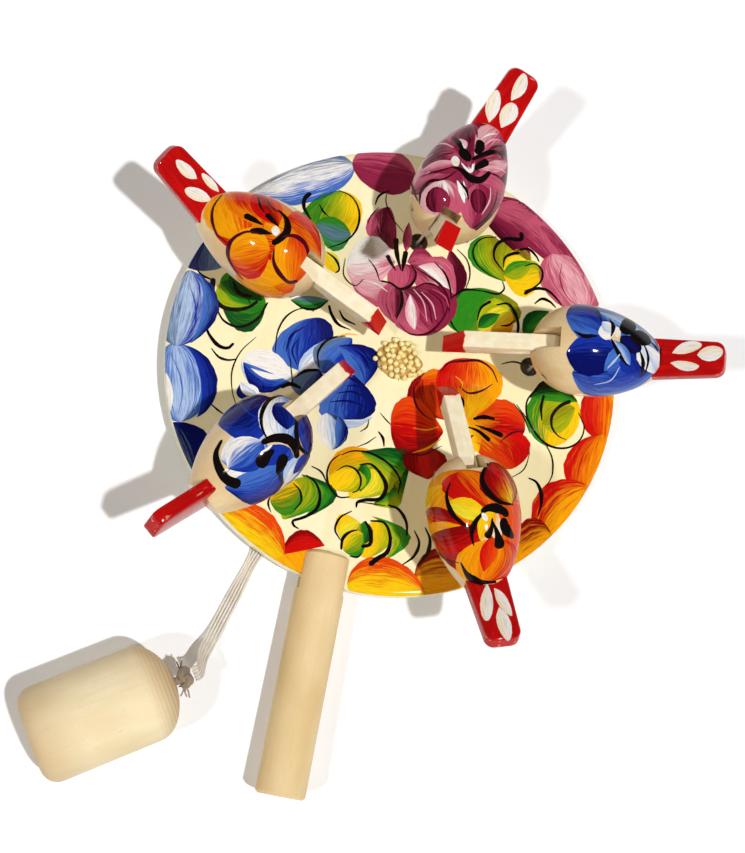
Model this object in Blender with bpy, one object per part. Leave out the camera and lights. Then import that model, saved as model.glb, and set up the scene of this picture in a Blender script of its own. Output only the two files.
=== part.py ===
"""Pecking hens toy: a round board on a handle, five hens that peck in turn, and the weight that works them.

Each hen's neck turns on a pin between the two cheeks of its body. A cord is tied to the heel of the neck,
drops through a hole in the board and runs with the other four to one wooden weight. Swinging the weight
under the board pulls the cords one after the other, and each pull lifts a head.

The board lies as it does on a table: on its far rim and on the underside of the handle, so it leans a little.
Metres throughout. +Z is up, the handle points towards -Y, and Z = 0 is the table.
"""

import math

import bmesh
import bpy
import numpy as np
from mathutils import Matrix, Vector

MM = 0.001

# Clearances
FIT = 0.3 * MM
NECK_SIDE_PLAY = 0.5 * MM
CORD_OVER_TABLE = 0.03 * MM

# Board
BOARD_DIAMETER = 140 * MM
BOARD_THICKNESS = 6 * MM
RIM_ROUND = 1.5 * MM
CORD_HOLE_DIAMETER = 6 * MM

# Handle: a dowel with a sawn slot glued over the rim, a little off the radius
HANDLE_DIAMETER = 14.7 * MM
HANDLE_LENGTH = 71 * MM
HANDLE_OVERLAP = 9 * MM
HANDLE_OFFSET = -3.6 * MM
HANDLE_TURN = math.radians(5.5)
HANDLE_CHAMFER = 0.8 * MM

# Hens, each set by hand: bearing round the board, distance of the leg from the centre, how far each is turned on
# its leg, how far it leans to its side, how far its tail is turned, whether its head is up, and whether its tail
# slat was glued in on edge
HENS = (
    ("hen1", 17.0, 54.8 * MM, -6.7, 0, -1, False, False),
    ("hen2", 92.1, 53.2 * MM, -12, 5.5, -2, True, False),
    ("hen3", 160.6, 52.6 * MM, 6.4, -5, -11, False, False),
    ("hen4", 232.0, 56.8 * MM, 9.2, 0, -8, False, True),
    ("hen5", 305.8, 53.6 * MM, -12.2, 0, 0, False, False),
)
BODY_LENGTH = 38 * MM
BODY_DIAMETER = 26.8 * MM
BODY_HEIGHT = 25 * MM
BODY_WIDEST = -3 * MM
BODY_END_DIAMETER = 11 * MM
KERF_DEPTH = 10 * MM

LEG_DIAMETER = 6 * MM
LEG_IN_BOARD = 4 * MM
LEG_IN_BODY = 8 * MM
LEG_CHAMFER = 0.4 * MM

TAIL_THICKNESS = 4.2 * MM
TAIL_ROOT_WIDTH = 12.4 * MM
TAIL_TIP_WIDTH = 10.2 * MM
TAIL_LENGTH = 25.5 * MM
TAIL_IN_BODY = 5 * MM
TAIL_RISE = math.radians(30)
TAIL_CORNER = 3 * MM
TAIL_EASING = 0.6 * MM
TAIL_ON_EDGE = math.radians(84)

# Necks, measured along the bar from the pin (ahead) and square to it (deep)
PIN_FROM_NOSE = 4.8 * MM
PIN_DIAMETER = 1.8 * MM
NECK_WIDTH = 5 * MM
NECK_DEPTH = 6 * MM
NECK_TO_BEAK_TOP = 24.6 * MM
BEAK_RUN = 7 * MM
BEAK_DROP = 6.4 * MM
BEAK_BLUNT = 3.4 * MM
HEAD_LENGTH = 9 * MM
JAW_RUN = 2 * MM
CHIN_CUT = 1 * MM
HEEL_RADIUS = 3.8 * MM
HEEL_TIE_ANGLE = math.radians(203)
NECK_LOWERED = math.radians(-20)
NECK_RAISED = math.radians(64)

# Grain glued to the middle of the board. The mound's heights are at shares of its radius: middle, shoulder, edge
GRAIN_DIAMETER = 1.8 * MM
GRAIN_SPACING = 2 * MM
GRAIN_SUNK = 0.5 * MM
HEAP_RADII = (8.2 * MM, 6.5 * MM)
HEAP_CENTRE = (0.3 * MM, 2.2 * MM)
MOUND_SHARES = (0.0, 0.55, 1.0)
MOUND_HEIGHTS = (1.9 * MM, 1.5 * MM, 0.4 * MM)

# Weight: a turned barrel lying on the table
WEIGHT_DIAMETER = 28 * MM
WEIGHT_LENGTH = 43 * MM
WEIGHT_DOME = 9.5 * MM
WEIGHT_CORNER = 5 * MM
WEIGHT_APEX = (-35.3 * MM, -109.3 * MM)
WEIGHT_BEARING = math.radians(38.7)
WEIGHT_HOLE_DIAMETER = 5 * MM
WEIGHT_HOLE_DEPTH = 12 * MM
KNOT_DIAMETER = 6.6 * MM
KNOT_LENGTH = 5.5 * MM
KNOT_ROUND = 0.6 * MM

# Cords
CORD_DIAMETER = 0.8 * MM
LEAD_CORD_POINTS = 46
PULL_CORD_POINTS = 11
PULL_CORD_DROP = 3 * MM
PULL_CORD_BEND = (0.4 * MM, 0.5 * MM, 9 * MM)
LANE = 1.15 * MM
HOLE_BEHIND_PIN = 1.6 * MM
CORD_OFF_HOLE_AXIS = 0.8 * MM
PULL_CORD_IN_HOLE = 2.7 * MM
TURN_IN = 1.8 * MM
KNOT_APPROACH = 1.6 * MM

BOARD_SIDES = 72
BODY_SIDES = 24
TURNED_SIDES = 32
DOWEL_SIDES = 16
PIN_SIDES = 12

PALE_WOOD = ((0.78, 0.62, 0.42), 0.55)
VARNISHED_CREAM = ((0.86, 0.76, 0.52), 0.25)
RED_PAINT = ((0.62, 0.02, 0.02), 0.25)
STEEL = ((0.55, 0.55, 0.55), 0.35)
MILLET = ((0.85, 0.62, 0.22), 0.4)
COTTON = ((0.85, 0.82, 0.76), 0.9)
HEN_PAINT = {
    "hen1": ((0.03, 0.10, 0.45), 0.2),
    "hen2": ((0.35, 0.04, 0.12), 0.2),
    "hen3": ((0.80, 0.22, 0.03), 0.2),
    "hen4": ((0.04, 0.12, 0.42), 0.2),
    "hen5": ((0.72, 0.10, 0.02), 0.2),
}


# Lean of the board on the table, from the handle's underside to the far rim
handle_radius = HANDLE_DIAMETER / 2
handle_below = handle_radius - BOARD_THICKNESS / 2
board_radius = BOARD_DIAMETER / 2
rest_radius = board_radius - RIM_ROUND
handle_start = board_radius - HANDLE_OVERLAP
lean = math.atan2(handle_below, rest_radius + handle_start)
far_lift = rest_radius * math.sin(lean)


def material(name, finish, metallic=0.0):
    colour, roughness = finish
    made = bpy.data.materials.new(name)
    made.use_nodes = True
    shader = made.node_tree.nodes["Principled BSDF"]
    shader.inputs["Base Color"].default_value = (*colour, 1)
    shader.inputs["Roughness"].default_value = roughness
    shader.inputs["Metallic"].default_value = metallic
    made.diffuse_color = (*colour, 1)
    return made


def empty(name, parent=None, matrix=None):
    made = bpy.data.objects.new(name, None)
    bpy.context.collection.objects.link(made)
    made.parent = parent
    made.matrix_local = matrix or Matrix.Identity(4)
    return made


def piece(name, bm, finish, parent, matrix=None, metallic=0.0, smooth_below=40):
    """One named piece: its mesh, its own material, and its place under its parent."""
    bmesh.ops.recalc_face_normals(bm, faces=bm.faces)
    mesh = bpy.data.meshes.new(name)
    bm.to_mesh(mesh)
    bm.free()
    mesh.shade_smooth()
    mesh.set_sharp_from_angle(angle=math.radians(smooth_below))
    made = bpy.data.objects.new(name, mesh)
    bpy.context.collection.objects.link(made)
    mesh.materials.append(material(name, finish, metallic))
    made.parent = parent
    made.matrix_local = matrix or Matrix.Identity(4)
    return made


def cutter(name, bm, parent, matrix=None):
    made = piece(name, bm, PALE_WOOD, parent, matrix)
    made.hide_render = True
    made.display_type = "WIRE"
    return made


def cut(target, tool, operation="DIFFERENCE"):
    step = target.modifiers.new(tool.name, "BOOLEAN")
    step.operation = operation
    step.object = tool
    step.solver = "EXACT"


def lathe(profile, sides=TURNED_SIDES, turn=0.0):
    """A turned solid about Z: profile is (radius, height) from one end of the axis to the other."""
    bm = bmesh.new()
    angles = [turn + 2 * math.pi * i / sides for i in range(sides)]
    rings = []
    for radius, height in profile:
        if radius == 0:
            rings.append([bm.verts.new((0, 0, height))] * sides)
        else:
            rings.append([bm.verts.new((radius * math.cos(a), radius * math.sin(a), height)) for a in angles])
    for low, high in zip(rings, rings[1:]):
        for i in range(sides):
            j = (i + 1) % sides
            corners = list(dict.fromkeys((low[i], low[j], high[j], high[i])))
            if len(corners) > 2:
                bm.faces.new(corners)
    for ring in (rings[0], rings[-1]):
        if ring[0] is not ring[1]:
            bm.faces.new(ring)
    return bm


def dowel(radius, bottom, top, chamfer=0.0, sides=DOWEL_SIDES, turn=0.0):
    """A round bar along Z, with a chamfer at each end where one is asked for."""
    if not chamfer:
        return lathe([(radius, bottom), (radius, top)], sides, turn)
    ends = [(radius - chamfer, bottom), (radius, bottom + chamfer)]
    ends += [(radius, top - chamfer), (radius - chamfer, top)]
    return lathe(ends, sides, turn)


def slab(outline, thickness):
    """An outline in the XZ plane, extruded evenly to both sides along Y."""
    bm = bmesh.new()
    face = bm.faces.new([bm.verts.new((x, -thickness / 2, z)) for x, z in outline])
    extruded = bmesh.ops.extrude_face_region(bm, geom=[face])
    moved = [v for v in extruded["geom"] if isinstance(v, bmesh.types.BMVert)]
    bmesh.ops.translate(bm, verts=moved, vec=(0, thickness, 0))
    return bm


def block(x, y, z):
    """A box between two values on each axis."""
    bm = bmesh.new()
    bmesh.ops.create_cube(bm, size=1)
    size = Matrix.Diagonal((x[1] - x[0], y[1] - y[0], z[1] - z[0], 1))
    centre = Matrix.Translation(((x[0] + x[1]) / 2, (y[0] + y[1]) / 2, (z[0] + z[1]) / 2))
    bm.transform(centre @ size)
    return bm


def arc(centre, radius, start, end, steps):
    """Points of an arc in a plane, its ends included."""
    return [
        (centre[0] + radius * math.cos(a), centre[1] + radius * math.sin(a))
        for a in np.linspace(start, end, steps + 1)
    ]


ALONG_X = Matrix.Rotation(math.pi / 2, 4, "Y")
ALONG_Y = Matrix.Rotation(-math.pi / 2, 4, "X")


# Board

def make_board(toy):
    """A turned disc with a rounded rim. One flat of the rim faces the far end, where the board rests on it."""
    edge = [
        (board_radius - RIM_ROUND + r, BOARD_THICKNESS - RIM_ROUND + z)
        for r, z in arc((0, 0), RIM_ROUND, 0, math.pi / 2, 2)
    ]
    profile = [(r, BOARD_THICKNESS - z) for r, z in reversed(edge)] + edge
    return piece("board", lathe(profile, BOARD_SIDES, math.pi / BOARD_SIDES), VARNISHED_CREAM, toy)


def hen_frame(bearing, distance, turn, side_lean):
    """The hen's own frame: its leg on the origin, X out along its back, Z up its leg from the board's top."""
    bearing = math.radians(bearing)
    place = Vector((distance * math.cos(bearing), distance * math.sin(bearing), BOARD_THICKNESS))
    turned = Matrix.Rotation(bearing + math.radians(turn), 4, "Z")
    return Matrix.Translation(place) @ turned @ Matrix.Rotation(math.radians(side_lean), 4, "X")


# Handle

def make_handle(toy):
    """A chamfered dowel on the board's middle plane. Its inner end is sawn to take the rim."""
    start = Vector((HANDLE_OFFSET, -handle_start, BOARD_THICKNESS / 2))
    frame = Matrix.Translation(start) @ Matrix.Rotation(HANDLE_TURN, 4, "Z") @ Matrix.Rotation(math.pi / 2, 4, "X")
    bar = dowel(handle_radius, 0, HANDLE_LENGTH, HANDLE_CHAMFER, TURNED_SIDES)
    handle = piece("handle", bar, PALE_WOOD, toy, frame)
    across = handle_radius + FIT
    half_slot = BOARD_THICKNESS / 2 + FIT
    rim_skew = across * math.tan(HANDLE_TURN)
    rim_curve = board_radius - math.sqrt(board_radius**2 - (across + abs(HANDLE_OFFSET)) ** 2)
    slot_depth = HANDLE_OVERLAP + rim_skew + rim_curve + FIT
    slot = block((-across, across), (-half_slot, half_slot), (-across, slot_depth))
    cut(handle, cutter("handle_slot", slot, toy, frame))


# Hens

def body_radius(along):
    """The turned body's radius: a blunt nose, and a back that tapers to the flat end that holds the tail."""
    widest = BODY_DIAMETER / 2
    if along < BODY_WIDEST:
        share = (BODY_WIDEST - along) / (BODY_WIDEST + BODY_LENGTH / 2)
        return widest * math.sqrt(max(0.0, 1 - share**2.3))
    end = (BODY_END_DIAMETER / BODY_DIAMETER) ** (1 / 0.8)
    reach = (BODY_LENGTH / 2 - BODY_WIDEST) / math.sqrt(1 - end)
    return widest * (1 - ((along - BODY_WIDEST) / reach) ** 2) ** 0.8


def body_profile():
    """Radii from nose to tail, closer together towards the nose."""
    nose = -BODY_LENGTH / 2
    front = [nose + (BODY_WIDEST - nose) * (1 - math.cos(a)) for a in np.linspace(0, math.pi / 2, 7)]
    back = list(np.linspace(BODY_WIDEST, BODY_LENGTH / 2, 7))[1:]
    points = [(body_radius(x), x) for x in front + back]
    points[0] = (0, nose)
    return points


pin_along = -BODY_LENGTH / 2 + PIN_FROM_NOSE
kerf_end = -BODY_LENGTH / 2 + KERF_DEPTH
body_bottom = BODY_HEIGHT - BODY_DIAMETER / 2
leg_top = body_bottom + LEG_IN_BODY


def tail_outline(grow=0.0):
    """The slat seen flat: square at its root, narrowing a little to a tip with round corners."""
    root = TAIL_ROOT_WIDTH / 2 + grow
    tip = TAIL_TIP_WIDTH / 2 + grow
    end = TAIL_LENGTH + grow
    corner = TAIL_CORNER + grow
    upper = arc((end - corner, tip - corner), corner, 0, math.pi / 2, 4)
    half = upper + [(-grow, root)]
    return [(x, -z) for x, z in reversed(half)] + half


def tail_frame(turn, on_edge):
    """Along the slat, from its root in the body: X towards the tip, Y through the slat."""
    root_along = BODY_LENGTH / 2 - TAIL_IN_BODY
    turned = Matrix.Rotation(math.radians(turn), 4, "Z")
    place = Matrix.Translation((root_along, 0, BODY_HEIGHT)) @ turned @ Matrix.Rotation(-TAIL_RISE, 4, "Y")
    flat = Matrix.Rotation(math.pi / 2 - (TAIL_ON_EDGE if on_edge else 0), 4, "X")
    return place @ flat


def neck_outline():
    """The neck from the side, the pin at the origin and the beak towards +X, to be mirrored onto -X.

    A round heel behind the pin, a bar, then the deeper head with its slanted beak face and blunt chin.
    """
    half = NECK_DEPTH / 2
    beak_end = NECK_TO_BEAK_TOP + BEAK_RUN
    chin = half - BEAK_DROP - BEAK_BLUNT
    reach = math.asin(half / HEEL_RADIUS)
    heel = arc((0, 0), HEEL_RADIUS, math.pi - reach, math.pi + reach, 8)
    head_back = beak_end - HEAD_LENGTH
    belly = [(head_back - JAW_RUN, -half), (head_back, chin)]
    front = [(beak_end - CHIN_CUT, chin), (beak_end, half - BEAK_DROP), (NECK_TO_BEAK_TOP, half)]
    return heel + belly + front


def neck_point(ahead, up, slope):
    """A point of the neck in the hen's frame, for a neck at that slope."""
    x = pin_along - ahead * math.cos(slope) + up * math.sin(slope)
    z = BODY_HEIGHT + ahead * math.sin(slope) + up * math.cos(slope)
    return Vector((x, 0, z))


def make_hen(toy, board, name, bearing, distance, turn, side_lean, tail_turn, head_up, tail_on_edge):
    hen = empty(name, toy, hen_frame(bearing, distance, turn, side_lean))

    body = piece(
        f"{name}_body",
        lathe(body_profile(), BODY_SIDES, math.pi / BODY_SIDES),
        HEN_PAINT[name],
        hen,
        Matrix.Translation((0, 0, BODY_HEIGHT)) @ ALONG_X,
    )
    kerf_half = NECK_WIDTH / 2 + NECK_SIDE_PLAY
    kerf = block((-BODY_LENGTH, kerf_end), (-kerf_half, kerf_half), (0, 2 * BODY_HEIGHT))
    cut(body, cutter(f"{name}_kerf", kerf, hen))

    leg_radius = LEG_DIAMETER / 2
    leg_hole = dowel(leg_radius + FIT, -LEG_IN_BOARD - FIT, leg_top + FIT)
    leg_socket = cutter(f"{name}_leg_socket", leg_hole, hen)
    cut(body, leg_socket)
    cut(board, leg_socket)
    piece(f"{name}_leg", dowel(leg_radius, -LEG_IN_BOARD, leg_top, LEG_CHAMFER), PALE_WOOD, hen)

    slot = slab(tail_outline(FIT), TAIL_THICKNESS + 2 * FIT)
    tail_place = tail_frame(tail_turn, tail_on_edge)
    cut(body, cutter(f"{name}_tail_slot", slot, hen, tail_place))
    tail = piece(f"{name}_tail", slab(tail_outline(), TAIL_THICKNESS), RED_PAINT, hen, tail_place)
    rounding = tail.modifiers.new("eased edges", "BEVEL")
    rounding.width = TAIL_EASING
    rounding.segments = 2
    rounding.limit_method = "ANGLE"
    rounding.angle_limit = math.radians(60)

    pin_place = Matrix.Translation((pin_along, 0, BODY_HEIGHT))
    cheek = math.sqrt(body_radius(pin_along) ** 2 - (PIN_DIAMETER / 2) ** 2) - FIT
    pin_radius = PIN_DIAMETER / 2
    bore = dowel(pin_radius + FIT, -BODY_DIAMETER, BODY_DIAMETER, sides=PIN_SIDES)
    pin_bore = cutter(f"{name}_pin_bore", bore, hen, pin_place @ ALONG_Y)
    cut(body, pin_bore)
    pin = dowel(pin_radius, -cheek, cheek, sides=PIN_SIDES)
    piece(f"{name}_pin", pin, STEEL, hen, pin_place @ ALONG_Y, metallic=1.0)

    slope = NECK_RAISED if head_up else NECK_LOWERED
    mirrored = [(-x, z) for x, z in neck_outline()]
    neck = piece(
        f"{name}_neck",
        slab(mirrored, NECK_WIDTH),
        PALE_WOOD,
        hen,
        pin_place @ Matrix.Rotation(slope, 4, "Y"),
    )
    cut(neck, pin_bore)

    hole = dowel(CORD_HOLE_DIAMETER / 2, -2 * BOARD_THICKNESS, BOARD_THICKNESS)
    cut(board, cutter(f"{name}_cord_hole", hole, hen, Matrix.Translation((hole_along, 0, 0))))
    make_pull_cord(hen, name, slope)


# Cords

# The hole lies a little behind the pin, so that the cord pulls the heel straight down
hole_along = pin_along + HOLE_BEHIND_PIN
cord_along = hole_along + CORD_OFF_HOLE_AXIS
cord_radius = CORD_DIAMETER / 2
heel_tie = HEEL_RADIUS + FIT + cord_radius


def smooth_route(route, count):
    """Evenly spaced points on the smooth curve (centripetal Catmull-Rom) through the route's points."""
    given = np.array([tuple(p) for p in route], float)
    ends = np.vstack([2 * given[0] - given[1], given, 2 * given[-1] - given[-2]])
    fine = []
    for p0, p1, p2, p3 in zip(ends, ends[1:], ends[2:], ends[3:]):
        knots = np.cumsum([0] + [np.linalg.norm(b - a) ** 0.5 for a, b in ((p0, p1), (p1, p2), (p2, p3))])
        t = np.linspace(knots[1], knots[2], 40, endpoint=False)[:, None]
        a1 = ((knots[1] - t) * p0 + (t - knots[0]) * p1) / (knots[1] - knots[0])
        a2 = ((knots[2] - t) * p1 + (t - knots[1]) * p2) / (knots[2] - knots[1])
        a3 = ((knots[3] - t) * p2 + (t - knots[2]) * p3) / (knots[3] - knots[2])
        b1 = ((knots[2] - t) * a1 + (t - knots[0]) * a2) / (knots[2] - knots[0])
        b2 = ((knots[3] - t) * a2 + (t - knots[1]) * a3) / (knots[3] - knots[1])
        fine.append(((knots[2] - t) * b1 + (t - knots[1]) * b2) / (knots[2] - knots[1]))
    fine = np.vstack([*fine, given[-1:]])
    run = np.concatenate([[0], np.cumsum(np.linalg.norm(np.diff(fine, axis=0), axis=1))])
    even = np.linspace(0, run[-1], count)
    return np.stack([np.interp(even, run, fine[:, k]) for k in range(3)], axis=1), run[-1]


def cord(name, parent, route, count, lowest=-math.inf):
    """A limp round cord along a smooth curve through its route, which lies on the table where it is lowest."""
    points, length = smooth_route(route, count)
    points[:, 2] = np.maximum(points[:, 2], lowest)
    curve = bpy.data.curves.new(name, "CURVE")
    curve.dimensions = "3D"
    curve.bevel_depth = cord_radius
    curve.bevel_resolution = 2
    curve.use_fill_caps = True
    spline = curve.splines.new("POLY")
    spline.points.add(count - 1)
    for point, place in zip(spline.points, points):
        point.co = (*place, 1)
    made = bpy.data.objects.new(name, curve)
    bpy.context.collection.objects.link(made)
    curve.materials.append(material(name, COTTON))
    made.parent = parent
    print(f"{name}: {length / MM:.1f} mm")


def make_pull_cord(hen, name, slope):
    """From the heel of the neck, down between the cheeks and into the hole in the board."""
    tie = heel_tie * Vector((math.cos(HEEL_TIE_ANGLE), math.sin(HEEL_TIE_ANGLE)))
    top = neck_point(tie.x, tie.y, slope)
    hanging = top - Vector((0, 0, PULL_CORD_DROP))
    bottom = Vector((cord_along, 0, 0))
    middle = bottom + Vector(PULL_CORD_BEND)
    end = Vector((cord_along, 0, -PULL_CORD_IN_HOLE))
    cord(f"{name}_pull_cord", hen, [top, hanging, middle, bottom, end], PULL_CORD_POINTS)


# Where the cords leave the rim together, and the way each goes there under the board, in millimetres from the
# board's centre. All five are about one length, so a cord with a short way to go lies in a wider loop.
RIM_EXIT = (-23.3 * MM, -66.1 * MM)
SLACK = {
    "hen5": ((34, -24), (37, -15), (32, -8), (23, -11), (10, -26), (-8, -46)),
    "hen1": ((32, 9), (18, 3), (2, -16), (-11.5, -43)),
    "hen2": ((3, 20), (-1, -2), (-7.5, -24), (-16, -48)),
    "hen4": ((-27, -18), (-25, -4), (-19.5, 3), (-14, -3), (-14, -18), (-18, -36), (-22.3, -54)),
    "hen3": ((-32, 5), (-37, -9), (-50, -13), (-58, -24), (-53, -37), (-41, -45), (-30.5, -52), (-26.6, -60)),
}
# Place of each cord across the flat bundle, from the rim to the knot
LANES = {"hen5": 2, "hen1": 1, "hen2": 0, "hen4": -1, "hen3": -2}
# The bundle between rim and knot: share of the way, share of the climb, and share of the turn into the knot
BUNDLE = ((0.0, 0.0, 0.0), (0.35, 0.0, 0.0), (0.65, 0.08, 0.0), (0.84, 0.45, 0.5))


def make_lead_cord(stand, toy_frame, name, placing, knot_face, heading):
    """From the hole in the board, across the table under the board, out past the rim and up to the knot."""
    hen = toy_frame @ hen_frame(*placing)
    low = CORD_OVER_TABLE + cord_radius
    start = hen @ Vector((cord_along, 0, -PULL_CORD_IN_HOLE - FIT))
    foot = hen @ Vector((cord_along, 0, -BOARD_THICKNESS))
    slack = [Vector((x * MM, y * MM, low)) for x, y in SLACK[name]]
    foot.z = low
    turn_in = foot + (slack[0] - foot).normalized() * TURN_IN
    foot.z = (start.z + low) / 2

    exit_point = Vector((*RIM_EXIT, low))
    run = Vector((knot_face.x, knot_face.y, low)) - exit_point
    rise = Vector((0, 0, knot_face.z - low))
    rim_lane = Vector((-run.y, run.x, 0)).normalized() * LANES[name] * LANE
    knot_lane = Vector((heading.y, -heading.x, 0)) * LANES[name] * LANE
    outside = [
        exit_point + run * way + rise * climb + rim_lane.lerp(knot_lane, turned)
        for way, climb, turned in BUNDLE
    ]
    at_knot = knot_face + knot_lane
    approach = at_knot + heading * KNOT_APPROACH - rise * 0.1
    route = [start, foot, turn_in, *slack, *outside, approach, at_knot]
    cord(f"{name}_lead_cord", stand, route, LEAD_CORD_POINTS, lowest=low)


# Grain

def make_grain(toy):
    """A low mound of glue with a lattice of small balls sunk in it."""
    edge = MOUND_HEIGHTS[-1]
    shoulder = (MOUND_SHARES[1], MOUND_HEIGHTS[1])
    mound = lathe([(1, 0), (1, edge), shoulder, (0, MOUND_HEIGHTS[0])], DOWEL_SIDES)
    mound.transform(Matrix.Diagonal((*HEAP_RADII, 1, 1)))
    place = Matrix.Translation((*HEAP_CENTRE, BOARD_THICKNESS + FIT))
    heap = piece("grain_heap", mound, MILLET, toy, place)

    balls = bmesh.new()
    row_gap = GRAIN_SPACING * math.sqrt(3) / 2
    rows = math.ceil(HEAP_RADII[1] / row_gap)
    columns = math.ceil(HEAP_RADII[0] / GRAIN_SPACING)
    for row in range(-rows, rows + 1):
        for column in range(-columns - 1, columns + 1):
            x = (column + 0.5 * (row % 2)) * GRAIN_SPACING
            y = row * row_gap
            share = math.hypot(x / HEAP_RADII[0], y / HEAP_RADII[1])
            if share < 1:
                z = np.interp(share, MOUND_SHARES, MOUND_HEIGHTS) + GRAIN_DIAMETER / 2 - GRAIN_SUNK
                spin = Matrix.Rotation(3 * row + 2 * column, 4, (0.3, 0.5, 0.8))
                spot = Matrix.Translation((x, y, z)) @ spin
                bmesh.ops.create_icosphere(balls, subdivisions=1, radius=GRAIN_DIAMETER / 2, matrix=spot)
    cut(heap, cutter("grains", balls, toy, place), "UNION")


# Weight

def weight_profile():
    """Radius and distance from the domed end that faces the cords, down to the flat end with its round corner."""
    radius = WEIGHT_DIAMETER / 2
    dome = [
        (radius * math.sin(a), WEIGHT_DOME * (1 - math.cos(a)))
        for a in np.linspace(0, math.pi / 2, 9)
    ]
    dome[0] = (0, 0)
    corner = arc((radius - WEIGHT_CORNER, WEIGHT_LENGTH - WEIGHT_CORNER), WEIGHT_CORNER, 0, math.pi / 2, 4)
    return dome + corner


def make_weight(stand, heading):
    """The barrel lies along its bearing on the table, its domed end and cord hole towards the board."""
    radius = WEIGHT_DIAMETER / 2
    apex = Vector((*WEIGHT_APEX, radius))
    swing = empty("weight_swing", stand, Matrix.Translation((*RIM_EXIT, 0)))
    inward = Matrix.Rotation(WEIGHT_BEARING + math.pi, 4, "Z") @ ALONG_X
    frame = Matrix.Translation(apex - Vector((*RIM_EXIT, 0))) @ inward
    weight = piece("weight", lathe(weight_profile()), PALE_WOOD, swing, frame)
    socket = dowel(WEIGHT_HOLE_DIAMETER / 2, -WEIGHT_DOME, WEIGHT_HOLE_DEPTH)
    cut(weight, cutter("weight_hole", socket, swing, frame))

    plug = WEIGHT_HOLE_DIAMETER / 2 - FIT
    round_centre = KNOT_DIAMETER / 2 - KNOT_ROUND
    knot = arc((round_centre, KNOT_ROUND - KNOT_LENGTH), KNOT_ROUND, -math.pi / 2, 0, 2)
    knot += arc((round_centre, -FIT - KNOT_ROUND), KNOT_ROUND, 0, math.pi / 2, 2)
    knot += [(plug, -FIT), (plug, WEIGHT_HOLE_DEPTH - FIT)]
    piece("cord_knot", lathe(knot, DOWEL_SIDES), COTTON, swing, frame)
    return apex + heading * (KNOT_LENGTH + FIT)


def build():
    for leftover in list(bpy.data.objects):
        bpy.data.objects.remove(leftover, do_unlink=True)
    stand = empty("stand")
    toy_frame = Matrix.Translation((0, 0, far_lift)) @ Matrix.Rotation(-lean, 4, "X")
    toy = empty("toy", stand, toy_frame)
    board = make_board(toy)
    make_handle(toy)
    for hen in HENS:
        make_hen(toy, board, *hen)
    make_grain(toy)
    heading = Vector((math.cos(WEIGHT_BEARING), math.sin(WEIGHT_BEARING), 0))
    knot_face = make_weight(stand, heading)
    for name, bearing, distance, turn, side_lean, *_ in HENS:
        make_lead_cord(stand, toy_frame, name, (bearing, distance, turn, side_lean), knot_face, heading)
    centre_over_origin(stand, toy)


def centre_over_origin(stand, toy):
    """Moves everything together so that the toy's own box, without its cords and weight, is centred on Z."""
    bpy.context.view_layer.update()
    points = [
        made.matrix_world @ vertex.co
        for made in toy.children_recursive
        if made.type == "MESH" and not made.hide_render
        for vertex in made.data.vertices
    ]
    for axis in range(2):
        values = [point[axis] for point in points]
        stand.location[axis] = -(min(values) + max(values)) / 2


build()
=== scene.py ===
import math

import bmesh
import bpy
import numpy as np
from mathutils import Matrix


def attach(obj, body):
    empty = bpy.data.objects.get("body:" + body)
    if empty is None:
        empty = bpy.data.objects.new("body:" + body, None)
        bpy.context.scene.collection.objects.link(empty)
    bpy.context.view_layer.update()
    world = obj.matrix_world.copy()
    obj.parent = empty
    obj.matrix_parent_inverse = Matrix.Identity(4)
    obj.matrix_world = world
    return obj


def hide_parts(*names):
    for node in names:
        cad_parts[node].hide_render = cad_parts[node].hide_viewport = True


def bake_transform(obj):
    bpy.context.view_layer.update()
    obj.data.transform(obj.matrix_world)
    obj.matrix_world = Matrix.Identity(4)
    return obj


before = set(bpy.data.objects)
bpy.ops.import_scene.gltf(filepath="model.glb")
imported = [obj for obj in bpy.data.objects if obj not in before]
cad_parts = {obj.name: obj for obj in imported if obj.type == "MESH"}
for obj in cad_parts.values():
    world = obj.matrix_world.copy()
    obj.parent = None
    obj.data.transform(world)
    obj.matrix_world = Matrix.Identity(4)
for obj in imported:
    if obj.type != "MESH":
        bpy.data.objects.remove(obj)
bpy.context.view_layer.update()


# Board: a turned disc of pale wood, primed cream, painted and varnished. It lies on its far rim and on the thicker
# handle, so it leans. Points are in millimetres up to the making of a mesh, here and in all later sections.

def shift(x=0.0, y=0.0, z=0.0):
    """A 4 by 4 matrix that moves points."""
    made = np.eye(4)
    made[:3, 3] = x, y, z
    return made


def turn(degrees, axis):
    """A 4 by 4 matrix that turns points about X, Y or Z, counter-clockwise seen from that axis's tip."""
    c, s = math.cos(math.radians(degrees)), math.sin(math.radians(degrees))
    i, j = {"X": (1, 2), "Y": (2, 0), "Z": (0, 1)}[axis]
    made = np.eye(4)
    made[i, i] = made[j, j] = c
    made[i, j], made[j, i] = -s, s
    return made


def placed(points, matrix):
    """Points, three numbers in the last axis, carried by a 4 by 4 matrix."""
    return points @ matrix[:3, :3].T + matrix[:3, 3]


BOARD_RADIUS = 70.0
BOARD_THICKNESS = 6.0
RIM_ROUND = 1.5
BOARD_REST = BOARD_RADIUS - RIM_ROUND
HANDLE_START = 61.0
HANDLE_DIAMETER = 14.7
handle_below = HANDLE_DIAMETER / 2 - BOARD_THICKNESS / 2
board_lean = math.degrees(math.atan2(handle_below, BOARD_REST + HANDLE_START))
board_place = shift(-1.558, 20.665, BOARD_REST * math.sin(math.radians(board_lean))) @ turn(-board_lean, "X")


def linear(code):
    """A colour's hex code as linear red, green and blue, with an alpha of 1."""
    shares = np.array([int(code[i:i + 2], 16) for i in (1, 3, 5)]) / 255
    return (*np.where(shares < 0.04045, shares / 12.92, ((shares + 0.055) / 1.055) ** 2.4), 1.0)


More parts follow.
